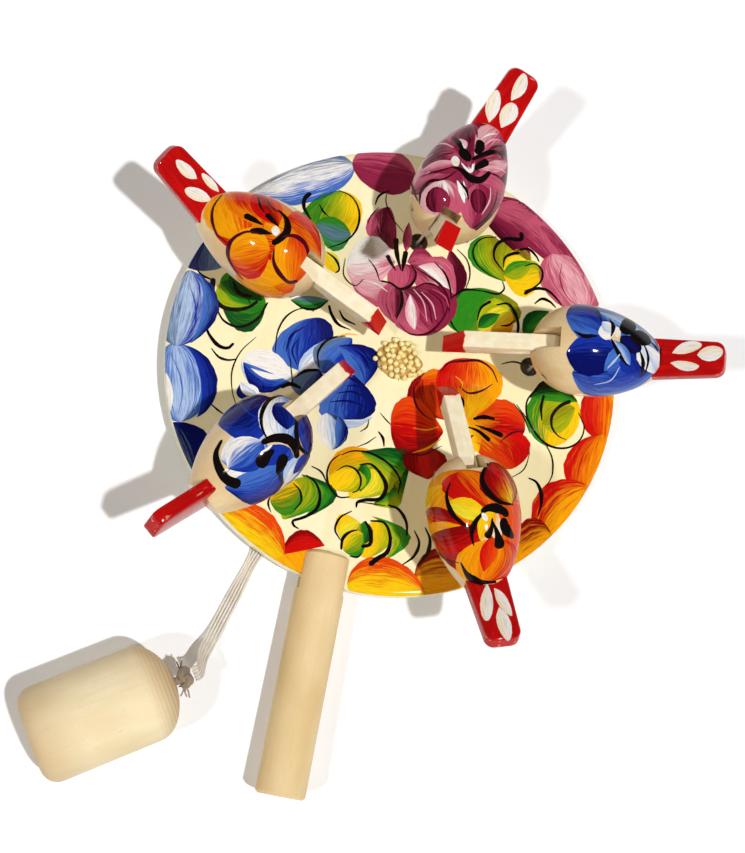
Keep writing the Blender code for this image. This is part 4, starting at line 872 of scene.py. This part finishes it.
        ("black", 0.3, 1.6, 0.3, -10.2, -8.5, -6.7, -10.5, -2, -9.9, 1.4, -7.6, 3.8, -4.7),
        ("black", 0.5, 2, 0.4, -14.6, 3.5, -10, 0.4, -6.1, 1.1, -2.8, 4.3, -1.9, 9.7),
        ("black", 1.2, 2.8, 2.2, -0.4, -1.5, -1.3, 0.9, -0.5, 4.6, 1.2, 6.9),
        ("black", 2.6, 3.6, 1.2, 1.7, 5, 4.5, 5.4, 7.2, 8.6),
        ("black", 0.6, 1.6, 0.3, -0.6, -0.3, 1.9, -3.1, 5.2, -4.6, 8.5, -4.2),
        ("black", 0.3, 1.2, 2.6, 1.5, 1.5, 4.5, 0.9, 6.8, -0.7),
        ("black", 0.2, 1.6, 4.2, 2.1, 1.4, 6, 2.6, 10, 3.3),
        ("black", 0.3, 2.2, 0.5, 12.1, -8.4, 15.8, -6.3, 18.4, -2.3, 18.6, 2.2),
        ("wine", 0.2, 0.7, 0.2, 5.3, -22.6, 9.9, -15.7, 12.3, -8.7),
        ("white", 0.8, 1.4, 0.8, -0.1, -1.2, 2.2, -0.1),
    ]),
}
EGG_LAYER = 0.02
PAINT_OFF_NOSE = 0.4
PAINT_OFF_END = 0.05


def on_egg(middle):
    """The function that carries flat points on to an egg in its place."""
    def lay(flat, height):
        along = np.clip(flat[..., 0], NOSE + PAINT_OFF_NOSE, BODY_LENGTH / 2 - PAINT_OFF_END)
        radius = body_radius(along)
        angle = flat[..., 1] / radius
        radius = radius + height
        return placed(np.stack([along, radius * np.sin(angle), radius * np.cos(angle)], -1), middle)
    return lay


def open_kerf(picture, middle):
    """Cuts a painting along the walls of its egg's kerf, and takes away what lies between them over the gap."""
    loose = bmesh.new()
    loose.from_mesh(picture.data)
    back = (1, 0, KERF_SLANT)
    half = KERF_WIDTH / 2
    for point, facing in (((0, half, 0), (0, 1, 0)), ((0, -half, 0), (0, 1, 0)), ((kerf_back, 0, 0), back)):
        bmesh.ops.bisect_plane(
            loose, geom=loose.verts[:] + loose.edges[:] + loose.faces[:],
            plane_co=placed(np.array(point), middle) / 1000, plane_no=middle[:3, :3] @ facing,
        )
    centres = placed(np.array([face.calc_center_median() for face in loose.faces]) * 1000, np.linalg.inv(middle))
    over_gap = (centres @ back < kerf_back) & (abs(centres[:, 1]) < half)
    gone = [face for face, cut in zip(loose.faces, over_gap) if cut]
    bmesh.ops.delete(loose, geom=gone, context="FACES")
    loose.to_mesh(picture.data)
    loose.free()


for name, (dabs, lines) in PAINTED_BACKS.items():
    middle = HENS[name]["place"] @ shift(z=BODY_HEIGHT)
    picture = painting(f"{name}_flowers", dabs, lines, on_egg(middle), EGG_LAYER)
    open_kerf(picture, middle)
    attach(picture, "board_and_hens")


# Tails: slats of pale wood with round corners, painted red, each glued into a slot in the egg's flat end. The tail of
# one hen was glued in on edge. All but that one carry three cream petals.

TAIL_LENGTH = 25.5
TAIL_THICKNESS = 4.2
TAIL_ROOT_WIDTH = 12.4
TAIL_TIP_WIDTH = 10.2
TAIL_CORNER = 3.0
TAIL_IN_BODY = 5.0
TAIL_EASING = 0.6
TAIL_RISE = 30.0
TAIL_ON_EDGE = -84


def bar_grid(along, width, low, high, easing):
    """A grid for a bar along X: at each distance along it a rectangle of that width, from low to high in Z, whose
    corners are quarter circles."""
    angle = np.radians(np.repeat(np.arange(4) * 90, 5) + np.tile(np.linspace(0, 90, 5), 4))
    side_y, side_z = np.repeat([1, -1, -1, 1], 5), np.repeat([1, 1, -1, -1], 5)
    width, low, high = (np.broadcast_to(value, along.shape)[:, None] for value in (width, low, high))
    corner = np.minimum(easing, np.minimum(width / 2, (high - low) / 2))
    y = side_y * (width / 2 - corner) + corner * np.cos(angle)
    z = (high + low) / 2 + side_z * ((high - low) / 2 - corner) + corner * np.sin(angle)
    return np.stack([np.repeat(along[:, None], 20, 1), y, z], -1)


bend = np.sin(np.radians(np.linspace(0, 90, 12)))
tail_along = np.concatenate([
    np.linspace(0, TAIL_LENGTH - TAIL_CORNER, 12)[:-1],
    TAIL_LENGTH - TAIL_CORNER + (TAIL_CORNER - TAIL_EASING) * bend[:-1],
    TAIL_LENGTH - TAIL_EASING + TAIL_EASING * bend,
])
tail_end = fall(tail_along - TAIL_LENGTH + TAIL_EASING, TAIL_EASING)
towards_tip = np.clip(tail_along / (TAIL_LENGTH - TAIL_CORNER), 0, 1)
tail_width = TAIL_ROOT_WIDTH + (TAIL_TIP_WIDTH - TAIL_ROOT_WIDTH) * towards_tip
tail_width = tail_width - 2 * fall(tail_along - TAIL_LENGTH + TAIL_CORNER, TAIL_CORNER) - 2 * tail_end
tail_half = TAIL_THICKNESS / 2 - tail_end
tail_red, tree, shader = material(
    "tail_red", roughness=0.5, specular_ior_level=0.0, coat_weight=0.7, coat_roughness=0.07, coat_ior=1.4,
)
own = carried(tree, "own")
strokes = noise(tree, own, 0.8, 3, stretch=(0.15, 1, 1))
red = mixed(tree, ramp(tree, strokes, 0.35, 0.7), "#b40a0c", "#d01412")
side = maths(tree, "ABSOLUTE", add(tree, "SeparateXYZ", {0: own}).outputs[2])
thin = maths(tree, "SUBTRACT", strokes, side)
worn = ramp(tree, noise(tree, own, 0.9, 4, stretch=(0.2, 1, 1)), 0.6, 0.68, 0, 0.5)
worn = maths(tree, "MULTIPLY", worn, ramp(tree, thin, -1.3, -1.1))
coat(tree, shader, mixed(tree, worn, red, "#e8c9a0"), strokes, 0.00012)
for name, hen in HENS.items():
    root = hen["place"] @ shift(BODY_LENGTH / 2 - TAIL_IN_BODY, 0, BODY_HEIGHT)
    raised = root @ turn(hen["tail_turned"], "Z") @ turn(-TAIL_RISE, "Y")
    hen["tail_place"] = raised @ turn(0 if hen["flat"] else TAIL_ON_EDGE, "X")
    slat = placed(bar_grid(tail_along, tail_width, -tail_half, tail_half, TAIL_EASING), hen["tail_place"])
    tail = surface(f"{name}_slat", [slat], tail_red, around=True, capped=True)
    own_coordinates(tail, hen["tail_place"])
    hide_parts(f"{name}_tail")
    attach(tail, "board_and_hens")


# Petals on the tails: three cream drops on each tail that lies flat, each one touch of a loaded brush, with no line
# round them. Points are distances along the tail from its root and across it from its middle.

TAIL_DROPS = {
    "hen1": [
        ("white cream", 10.1, 1.3, 18.7, 3.9, 14, 4.8, 15.1, 1.4, 0.1, 0.9),
        ("cream white", 17.5, 0.8, 24.9, 2.1, 21, 3.6, 21.9, -1, 0.4, 0.9),
        ("cream white", 9.8, -1.7, 18.3, -2.5, 13.8, -1.1, 14.6, -4.1, 0.1, 0.9),
    ],
    "hen2": [
        ("cream white", 16.2, -0.2, 25, 1, 20.6, 1.6, 21.2, -2.2, 0, 0.9),
        ("cream white", 7.4, 1.8, 16.7, 5.1, 11.5, 5.6, 13, 1.6, 0, 0.9),
        ("cream white", 8, -2.1, 16, -1, 12.2, 0.7, 13.3, -4.3, 0, 0.9),
    ],
    "hen3": [
        ("cream white", 14.1, -1.9, 22.4, -1, 17.9, 0.4, 18.2, -2.9, 0.1, 0.9),
        ("cream white", 6.6, -4.2, 14.2, -4.1, 10.7, -2.9, 10.4, -5.2, 0.1, 0.9),
        ("cream white", 6.3, -0.9, 14.6, 2.7, 10.4, 2.8, 11.4, -0.6, 0.1, 0.9),
    ],
    "hen5": [
        ("cream white", 6.5, -0.4, 19, -3.6, 13.5, -4.2, 13.7, -0.5, 0, 0.9),
        ("cream white", 8.4, 1.1, 18.4, 3.7, 14.3, 1, 11.9, 3.7, 0, 0.8),
        ("cream white", 14.9, 0.9, 26.3, 0.5, 20.4, -1.1, 20.6, 2.8, 0, 0.9),
    ],
}


def on_tail(place):
    """The function that carries flat points on to the upper face of a tail in its place."""
    def lay(flat, height):
        top = np.full(flat.shape[:2], TAIL_THICKNESS / 2 + height)
        return placed(np.concatenate([flat, top[..., None]], -1), place)
    return lay


for name, dabs in TAIL_DROPS.items():
    picture = painting(f"{name}_drops", dabs, [], on_tail(HENS[name]["tail_place"]))
    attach(picture, "board_and_hens")


# Nails: plain steel wire, driven through both cheeks and the neck between them and cut flush. Each neck turns on
# one. They are the CAD's own pieces in a better finish.

nail_steel, tree, shader = material("nail_steel", metallic=1.0, roughness=0.38)
scratches = noise(tree, coordinates(tree), 900, 4)
coat(tree, shader, mixed(tree, scratches, "#8d8a85", "#c9c6c0"), scratches, 0.00003)
for name in HENS:
    refinish(f"{name}_pin", nail_steel)


# Necks: sawn from pale wood, a bar with a round heel behind the nail and a deeper head. The sloping beak is painted
# red and the rest is varnished. The edges are sanded off a little.

NECK_WIDTH = 5.0
NECK_DEPTH = 6.0
NECK_EASING = 0.3
HEEL_RADIUS = 3.8
HEAD = ((20.6, -3.0), (22.6, -6.8), (30.6, -6.8), (31.6, -3.4))
BEAK = ((24.6, 3.0), (31.6, -3.4))
neck_along = np.concatenate([
    -HEEL_RADIUS * np.cos(np.linspace(0, 1, 14)),
    np.linspace(-1.5, 20, 12), [20.6, 21.6, 22.4, 22.6, 23.6, 24.5], np.linspace(24.6, 30.6, 10), [31.1, 31.6],
])
heel = np.sqrt(np.clip(HEEL_RADIUS**2 - np.minimum(neck_along, 0) ** 2, 0, None))
neck_low = np.maximum(-heel, np.interp(neck_along, *zip(*HEAD), left=-NECK_DEPTH / 2))
neck_high = np.minimum(heel, np.interp(neck_along, *zip(*BEAK), left=NECK_DEPTH / 2))
neck_wood, tree, shader = material(
    "neck_wood", roughness=0.5, specular_ior_level=0.0, coat_weight=0.4, coat_roughness=0.15,
)
own = carried(tree, "own")
fibre = noise(tree, own, 1.1, 5, 0.6, stretch=(0.06, 1, 1))
blot = noise(tree, own, 0.35, 2)
bar = mixed(tree, ramp(tree, blot, 0.35, 0.7), "#fff6da", "#f8e9c4")
bar = mixed(tree, ramp(tree, fibre, 0.5, 0.8, 0, 0.2), bar, "#dfc08c")
ragged = maths(tree, "ADD", add(tree, "SeparateXYZ", {0: own}).outputs[0], maths(tree, "MULTIPLY", blot, 1.6))
coat(tree, shader, mixed(tree, ramp(tree, ragged, 25.1, 25.4), bar, "#d2120f"), fibre, 0.00008)
for name, hen in HENS.items():
    on_nail = hen["place"] @ shift(PIN_ALONG, 0, BODY_HEIGHT) @ turn(180, "Z") @ turn(-hen["neck"], "Y")
    bar = placed(bar_grid(neck_along, NECK_WIDTH, neck_low, neck_high, NECK_EASING), on_nail)
    neck = surface(f"{name}_bar", [bar], neck_wood, around=True, capped=True, sharp=30)
    own_coordinates(neck, on_nail)
    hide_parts(f"{name}_neck")
    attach(neck, f"{name}_neck")


# Handle: a sanded dowel of pale wood with a chamfer at both ends, sawn open at its inner end and glued over the
# board's rim, a little off the board's radius. It is left bare.

HANDLE_LENGTH = 71.0
HANDLE_CHAMFER = 0.8
HANDLE_ASIDE = -3.6
HANDLE_TURNED = 5.5
HANDLE_NOTCH_DEPTH = 11.5
HANDLE_NOTCH_HALF = 3.3
inner_end = board_place @ shift(HANDLE_ASIDE, -HANDLE_START, BOARD_THICKNESS / 2)
handle_place = inner_end @ turn(HANDLE_TURNED, "Z") @ turn(-90, "Z")
handle_profile = [
    (0, HANDLE_DIAMETER / 2 - HANDLE_CHAMFER),
    (HANDLE_CHAMFER, HANDLE_DIAMETER / 2),
    (HANDLE_LENGTH - HANDLE_CHAMFER, HANDLE_DIAMETER / 2),
    (HANDLE_LENGTH, HANDLE_DIAMETER / 2 - HANDLE_CHAMFER),
]
corners = [(y * 8, z * HANDLE_NOTCH_HALF) for y, z in ((-1, -1), (1, -1), (1, 1), (-1, 1))]
notch = block(corners, 0, (-8, HANDLE_NOTCH_DEPTH))
handle_wood = bare_wood("handle_wood", "#f5deae", "#e6c890", roughness=0.6, speckle=0.2)
handle = surface("handle_dowel", [placed(turned(handle_profile), handle_place)], handle_wood, around=True, capped=True)
cut_away(handle, notch, handle_place)
own_coordinates(handle, handle_place)
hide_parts("handle")
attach(handle, "board_and_hens")


# Grain: millet glued to the middle of the board, for the hens to peck at. The glue between the grains has dried clear
# and a little brown.

GRAIN_DIAMETER = 1.8
GRAIN_SPACING = 2.0
HEAP_RADII = (8.2, 6.5)
MOUND = ((0.0, 1.9), (0.55, 1.5), (1.0, 0.4))
heap_place = board_place @ shift(0.3, 2.2, BOARD_THICKNESS)
row, column = (value.ravel() for value in np.meshgrid(np.arange(-4, 5), np.arange(-6, 6), indexing="ij"))
x = (column + 0.5 * (row % 2)) * GRAIN_SPACING
y = row * GRAIN_SPACING * math.sqrt(3) / 2
share = np.hypot(x / HEAP_RADII[0], y / HEAP_RADII[1])
seeds = np.random.default_rng(4)
kept = share + 0.25 * seeds.random(len(x)) * (share > 0.6) < 1.06
x, y, share = x[kept], y[kept], share[kept]
z = np.interp(share, *zip(*MOUND)) + GRAIN_DIAMETER / 2 - 0.2
size = GRAIN_DIAMETER / 2 * seeds.uniform(0.9, 1.04, len(x))
spot = np.stack([x, y, z], -1) + seeds.normal(0, 0.3, (len(x), 3)) * (1, 1, 0.6)


def ball(centre, radius, rows=9, columns=14):
    """A grid for a ball: rings from its south pole to its north pole, nearly closed at both."""
    south = np.linspace(-np.pi / 2 + 0.05, np.pi / 2 - 0.05, rows)[:, None]
    round_it = np.linspace(0, 2 * np.pi, columns, endpoint=False)[None]
    shape = np.broadcast_arrays(np.cos(south) * np.cos(round_it), np.cos(south) * np.sin(round_it), np.sin(south))
    return centre + radius * np.stack(shape, -1)


millet, tree, shader = material("millet", roughness=0.3, coat_weight=0.5, coat_roughness=0.1)
here = coordinates(tree)
patch = noise(tree, here, 650, 2)
skin = mixed(tree, ramp(tree, patch, 0.35, 0.7), "#fff4b4", "#fce084")
freckles = ramp(tree, noise(tree, here, 2600, 2), 0.62, 0.8, 0, 0.35)
coat(tree, shader, mixed(tree, freckles, skin, "#a8742e"), patch, 0.0001)
grain = surface("millet_grains", [placed(ball(c, r), heap_place) for c, r in zip(spot, size)], millet, True, True, 180)
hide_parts("grain_heap")
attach(grain, "board_and_hens")

glue, tree, shader = material("dried_glue", roughness=0.2, coat_weight=0.8, coat_roughness=0.05)
cloud = noise(tree, coordinates(tree), 700, 3)
coat(tree, shader, mixed(tree, cloud, "#b8843a", "#e2bd6c"), cloud, 0.0002)
share = np.append(np.linspace(0.03, 1, 16), 1.02)
height = np.append(np.interp(share[:-1], *zip(*MOUND)), 0)
angle = np.linspace(0, 2 * np.pi, 48, endpoint=False)
outline = 0.84 + 0.05 * np.sin(3 * angle + 1) + 0.04 * np.sin(7 * angle)
mound = np.stack([
    HEAP_RADII[0] * np.outer(share, outline * np.cos(angle)),
    HEAP_RADII[1] * np.outer(share, outline * np.sin(angle)),
    np.repeat(height[:, None], 48, 1),
], -1)
mound = surface("glue_mound", [placed(mound, heap_place)], glue, around=True, capped=True, sharp=180)
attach(mound, "board_and_hens")


# Cords: limp cotton, three plies laid up to 0.8 mm. One is tied to the heel of each neck and drops through the board.
# Under the board all five lie slack on the table, then leave together past the rim and run side by side to the knot.

CORD_DIAMETER = 0.8
CORD_LOW = CORD_DIAMETER / 2 + 0.03
PLY_LAY = 2.6
HOLE_ALONG = PIN_ALONG + 1.6
CORD_ALONG = HOLE_ALONG + 0.8
CORD_IN_HOLE = 2.7
HEEL_TIE = HEEL_RADIUS + 0.3 + CORD_DIAMETER / 2
HEEL_TIE_ANGLE = math.radians(203)
RIM_EXIT = np.array([-23.3, -66.1])
SLACK = {
    "hen5": ((34, -24), (37, -15), (32, -8), (23, -11), (10, -26), (-8, -46)),
    "hen1": ((32, 9), (18, 3), (2, -16), (-11.5, -43)),
    "hen2": ((3, 20), (-1, -2), (-7.5, -24), (-16, -48)),
    "hen4": ((-27, -18), (-25, -4), (-19.5, 3), (-14, -3), (-14, -18), (-18, -36), (-22.3, -54)),
    "hen3": ((-32, 5), (-37, -9), (-50, -13), (-58, -24), (-53, -37), (-41, -45), (-30.5, -52), (-26.6, -60)),
}
LANES = {"hen5": 2, "hen1": 1, "hen2": 0, "hen4": -1, "hen3": -2}
LANE = 0.9
BUNDLE = ((0.0, 0.0, 0.0), (0.35, 0.0, 0.0), (0.65, 0.08, 0.0), (0.84, 0.45, 0.5))
WEIGHT_DIAMETER = 28.0
WEIGHT_APEX = np.array([-35.3, -109.3, WEIGHT_DIAMETER / 2])
WEIGHT_BEARING = math.radians(38.7)
KNOT_LENGTH = 5.5
stand = shift(board_place[0, 3], board_place[1, 3])
heading = np.array([math.cos(WEIGHT_BEARING), math.sin(WEIGHT_BEARING), 0])


def laid_cord(path, diameter, lay, plies=3, sides=18):
    """A grid for a laid cord: round the path runs a section with one lobe for each ply, turned once in each lay."""
    ahead = np.gradient(path, axis=0)
    ahead /= np.linalg.norm(ahead, axis=1, keepdims=True)
    side = np.cross(ahead, (0.12, 0.07, 1.0))
    side /= np.linalg.norm(side, axis=1, keepdims=True)
    up = np.cross(side, ahead)
    run = run_along(path)[:, None]
    angle = np.linspace(0, 2 * np.pi, sides, endpoint=False)[None]
    radius = diameter / 2 * (0.74 + 0.26 * np.abs(np.cos(plies / 2 * (angle - 2 * np.pi * run / lay))))
    return path[:, None] + radius[..., None] * (
        np.cos(angle)[..., None] * side[:, None] + np.sin(angle)[..., None] * up[:, None]
    )


cotton, tree, shader = material("cotton_cord", roughness=0.9, sheen_weight=0.4, sheen_roughness=0.5)
here = coordinates(tree)
fuzz = noise(tree, here, 2400, 4, 0.7)
soil = noise(tree, here, 90, 2)
yarn = mixed(tree, ramp(tree, soil, 0.4, 0.7), "#f2ece0", "#ddd3c3")
coat(tree, shader, mixed(tree, ramp(tree, fuzz, 0.5, 0.75, 0, 0.4), yarn, "#b4a898"), fuzz, 0.0002)
weight_front = WEIGHT_APEX + heading * (KNOT_LENGTH + 0.3)
for name, hen in HENS.items():
    slope = math.radians(hen["neck"])
    ahead, up = HEEL_TIE * math.cos(HEEL_TIE_ANGLE), HEEL_TIE * math.sin(HEEL_TIE_ANGLE)
    top = np.array([
        PIN_ALONG - ahead * math.cos(slope) + up * math.sin(slope),
        0,
        BODY_HEIGHT + ahead * math.sin(slope) + up * math.cos(slope),
    ])
    bottom = np.array([CORD_ALONG, 0, 0])
    route = [top, top - (0, 0, 3), bottom + (0.4, 0.5, 9), bottom, bottom - (0, 0, CORD_IN_HOLE)]
    path = placed(smooth_path(route, 0.25), hen["place"])
    pull = surface(f"{name}_pull", [laid_cord(path, CORD_DIAMETER, PLY_LAY)], cotton, around=True, capped=True)
    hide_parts(f"{name}_pull_cord")
    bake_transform(pull)

    on_stand = np.linalg.inv(stand) @ hen["place"]
    start = placed(np.array([CORD_ALONG, 0, -CORD_IN_HOLE - 0.3]), on_stand)
    foot = placed(np.array([CORD_ALONG, 0, -BOARD_THICKNESS]), on_stand)
    slack = [np.array([x, y, CORD_LOW]) for x, y in SLACK[name]]
    foot[2] = CORD_LOW
    towards = slack[0] - foot
    turn_in = foot + towards / np.linalg.norm(towards) * 1.8
    foot[2] = (start[2] + CORD_LOW) / 2
    leaving = np.array([*RIM_EXIT, CORD_LOW])
    run = np.array([*(weight_front - leaving)[:2], 0])
    rise = np.array([0, 0, weight_front[2] - CORD_LOW])
    rim_lane = np.array([-run[1], run[0], 0]) / np.linalg.norm(run) * LANES[name] * LANE
    knot_lane = np.array([heading[1], -heading[0], 0]) * LANES[name] * LANE
    outside = [
        leaving + run * way + rise * climb + rim_lane * (1 - turned_in) + knot_lane * turned_in
        for way, climb, turned_in in BUNDLE
    ]
    at_knot = weight_front + knot_lane
    route = [start, foot, turn_in, *slack, *outside, at_knot + heading * 1.6 - rise * 0.1, at_knot]
    path = smooth_path(route, 0.35)
    path[:, 2] = np.maximum(path[:, 2], CORD_LOW)
    path = placed(path, stand)
    lead = surface(f"{name}_lead", [laid_cord(path, CORD_DIAMETER, PLY_LAY)], cotton, around=True, capped=True)
    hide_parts(f"{name}_lead_cord")
    placed(outside[2], stand) / 1000
    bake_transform(lead)


# Knot: the five cords are tied together in one lump against the weight, with their frayed ends standing out, and its
# tail is pegged into the hole in the weight's domed end.

knot_place = stand @ shift(*WEIGHT_APEX) @ turn(math.degrees(WEIGHT_BEARING), "Z")
t = np.linspace(0, 2 * np.pi, 160)
lump = np.stack([
    KNOT_LENGTH / 2 + 0.3 + 1.05 * np.sin(3 * t),
    0.78 * (np.sin(t) + 2 * np.sin(2 * t)),
    0.78 * (np.cos(t) - 2 * np.cos(2 * t)),
], -1)
peg = np.array([(x, 0, 0) for x in np.linspace(-6, 3.2, 24)])
ends = []
for _ in range(9):
    # The second draw is not used. It stays, since every draw after it depends on it.
    swing, _ = seeds.uniform(0, 2 * np.pi), seeds.uniform(0.5, 1.5)
    reach = seeds.uniform(2, 4.5)
    out = np.array([0.15 * seeds.normal(), math.cos(swing), math.sin(swing)])
    root = np.array([seeds.uniform(0.8, 3.0), *(1.6 * out[1:])])
    tip = root + reach * out + (seeds.uniform(-2.5, 1), 0, -0.8)
    middle = (root + tip) / 2 + seeds.normal(0, 0.7, 3)
    ends.append(smooth_path([root, middle, tip], 0.4))
# The knot is a darker copy of the cords' cotton.
darker_cotton = cotton.copy()
darker_cotton.name = "darker_knot_cotton"
for mix in (node for node in darker_cotton.node_tree.nodes if node.bl_idname == "ShaderNodeMix"):
    mix.inputs[6].default_value, mix.inputs[7].default_value = linear("#a8957e"), linear("#6d5c4a")
grids = [laid_cord(lump, 2.3, 5.0), laid_cord(peg, 2.6, 5.0)]
grids += [laid_cord(end, 0.45, 1.6) for end in ends]
knot = surface("knot_lump", [placed(grid, knot_place) for grid in grids], darker_cotton, around=True, capped=True)
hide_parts("cord_knot")
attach(knot, "weight")


# Weight: a barrel of bare wood, domed where the cords go in and rounded at its flat end, turned and sanded smooth.
# The grain runs along it, so that the growth rings show on its dome, and both ends carry painted shade.

WEIGHT_LENGTH = 43.0
WEIGHT_DOME = 9.5
WEIGHT_CORNER = 5.0
WEIGHT_HOLE_DIAMETER = 5.0
WEIGHT_HOLE_DEPTH = 12.0
radius = WEIGHT_DIAMETER / 2
hole = WEIGHT_HOLE_DIAMETER / 2
first = math.asin(hole / radius)
dome = [(-WEIGHT_DOME * (1 - math.cos(a)), radius * math.sin(a)) for a in np.linspace(first, math.pi / 2, 40)]
corner = [
    (-WEIGHT_LENGTH + WEIGHT_CORNER * (1 - math.sin(a)), radius - WEIGHT_CORNER * (1 - math.cos(a)))
    for a in np.linspace(0, math.pi / 2, 18)
]
barrel = [(-WEIGHT_HOLE_DEPTH, 0.3), (-WEIGHT_HOLE_DEPTH, hole), *dome, *corner, (-WEIGHT_LENGTH, 0.3)]
weight_wood = bare_wood("weight_wood", "#fbecc6", "#efd9ab", roughness=0.6, speckle=0.2)
tree = weight_wood.node_tree
shader = tree.nodes["Principled BSDF"]
own = carried(tree, "own")
along = add(tree, "SeparateXYZ", {0: own}).outputs[0]
wave = {"Vector": own, "Scale": 0.28, "Distortion": 1.5, "Detail Scale": 0.4}
rings = add(tree, "TexWave", wave, bands_direction="X").outputs["Fac"]
# Painted shade: the dome darkens towards its tip in the pattern of its growth rings, and the barrel darkens towards its
# flat end.
dome_rings_and_shade = maths(tree, "MULTIPLY", ramp(tree, along, -9, -1, 0, 0.8), ramp(tree, rings, 0, 1, 0.45, 1))
painted_shade_and_rings = maths(tree, "ADD", dome_rings_and_shade, ramp(tree, along, -44, -28, 0.6, 0))
tone = shader.inputs["Base Color"].links[0].from_socket
tree.links.new(mixed(tree, painted_shade_and_rings, tone, "#c6a271"), shader.inputs["Base Color"])
weight = surface("weight_barrel", [placed(turned(barrel, 128), knot_place)], weight_wood, around=True, capped=True)
own_coordinates(weight, knot_place)
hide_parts("weight")
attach(weight, "weight")


# Floor, light and camera: a pale table, one strong lamp from the right and a weaker one from the left, both high, and
# a camera almost straight above.

floor_white, tree, shader = material("floor_white")
tree.nodes.remove(shader)
paths = add(tree, "LightPath").outputs
seen = maths(tree, "MAXIMUM", paths["Is Camera Ray"], paths["Is Glossy Ray"])
seen = maths(tree, "MAXIMUM", seen, paths["Is Transmission Ray"])
here = coordinates(tree)
grit = noise(tree, here, 60, 3)
paper = add(tree, "BsdfDiffuse", {"Color": mixed(tree, grit, "#f3f4f8", "#f6f8fb")}).outputs[0]
beyond = ramp(tree, from_board(tree, here), 0.062, 0.066, 0, 0.1)
glow = add(tree, "Emission", {"Strength": maths(tree, "MULTIPLY", seen, beyond)}).outputs[0]
together = add(tree, "AddShader", {0: paper, 1: glow}).outputs[0]
tree.links.new(together, tree.nodes["Material Output"].inputs["Surface"])
across = np.linspace(-1500, 1500, 5)
x, y = np.meshgrid(across, across, indexing="ij")
floor = surface("floor", [np.stack([x, y, np.full_like(x, -0.02)], -1)], floor_white)

world = bpy.data.worlds.new("studio")
world.use_nodes = True
bpy.context.scene.world = world
tree = world.node_tree
paths = add(tree, "LightPath").outputs
mirrored = maths(tree, "MAXIMUM", paths["Is Glossy Ray"], paths["Is Transmission Ray"])
height = add(tree, "SeparateXYZ", {0: add(tree, "TexCoord").outputs["Generated"]}).outputs[2]
backdrop = mixed(tree, ramp(tree, height, 0.0, 0.15), "#ffffff", (0.06, 0.06, 0.065, 1))
room = tree.nodes["Background"]
lit = mixed(tree, mirrored, (0.18, 0.157, 0.125, 1), backdrop)
tree.links.new(mixed(tree, paths["Is Camera Ray"], lit, "#ffffff"), room.inputs["Color"])


def lamp(name, azimuth, elevation, strength, angle):
    """A sun whose light comes from a compass direction, counter-clockwise from +X, at a height above the table."""
    made = bpy.data.objects.new(name, bpy.data.lights.new(name, "SUN"))
    bpy.context.scene.collection.objects.link(made)
    made.data.energy = strength
    made.data.angle = math.radians(angle)
    made.rotation_euler = (0, math.radians(90 - elevation), math.radians(azimuth))


lamp("key_lamp", -26, 71, 2.2, 2.0)
lamp("fill_lamp", -138.6, 54, 0.7, 3.0)

camera = bpy.data.objects.new("camera", bpy.data.cameras.new("camera"))
bpy.context.scene.collection.objects.link(camera)
bpy.context.scene.camera = camera
camera.data.sensor_fit = "HORIZONTAL"
camera.data.sensor_width = 36
camera.data.lens = 77.3
ahead = np.array([0.10731, 0.22094, -0.96937])
up = np.array([-0.30845, 0.93429, 0.1788])
ahead /= np.linalg.norm(ahead)
right = np.cross(ahead, up)
right /= np.linalg.norm(right)
camera_place = np.eye(4)
camera_place[:3, :3] = np.stack([right, np.cross(right, ahead), -ahead], 1)
camera_place[:3, 3] = -0.05492, -0.10564, 0.47644
# Blender takes the matrix column by column.
camera.matrix_world = camera_place.T.tolist()
bpy.context.scene.view_settings.view_transform = "Standard"
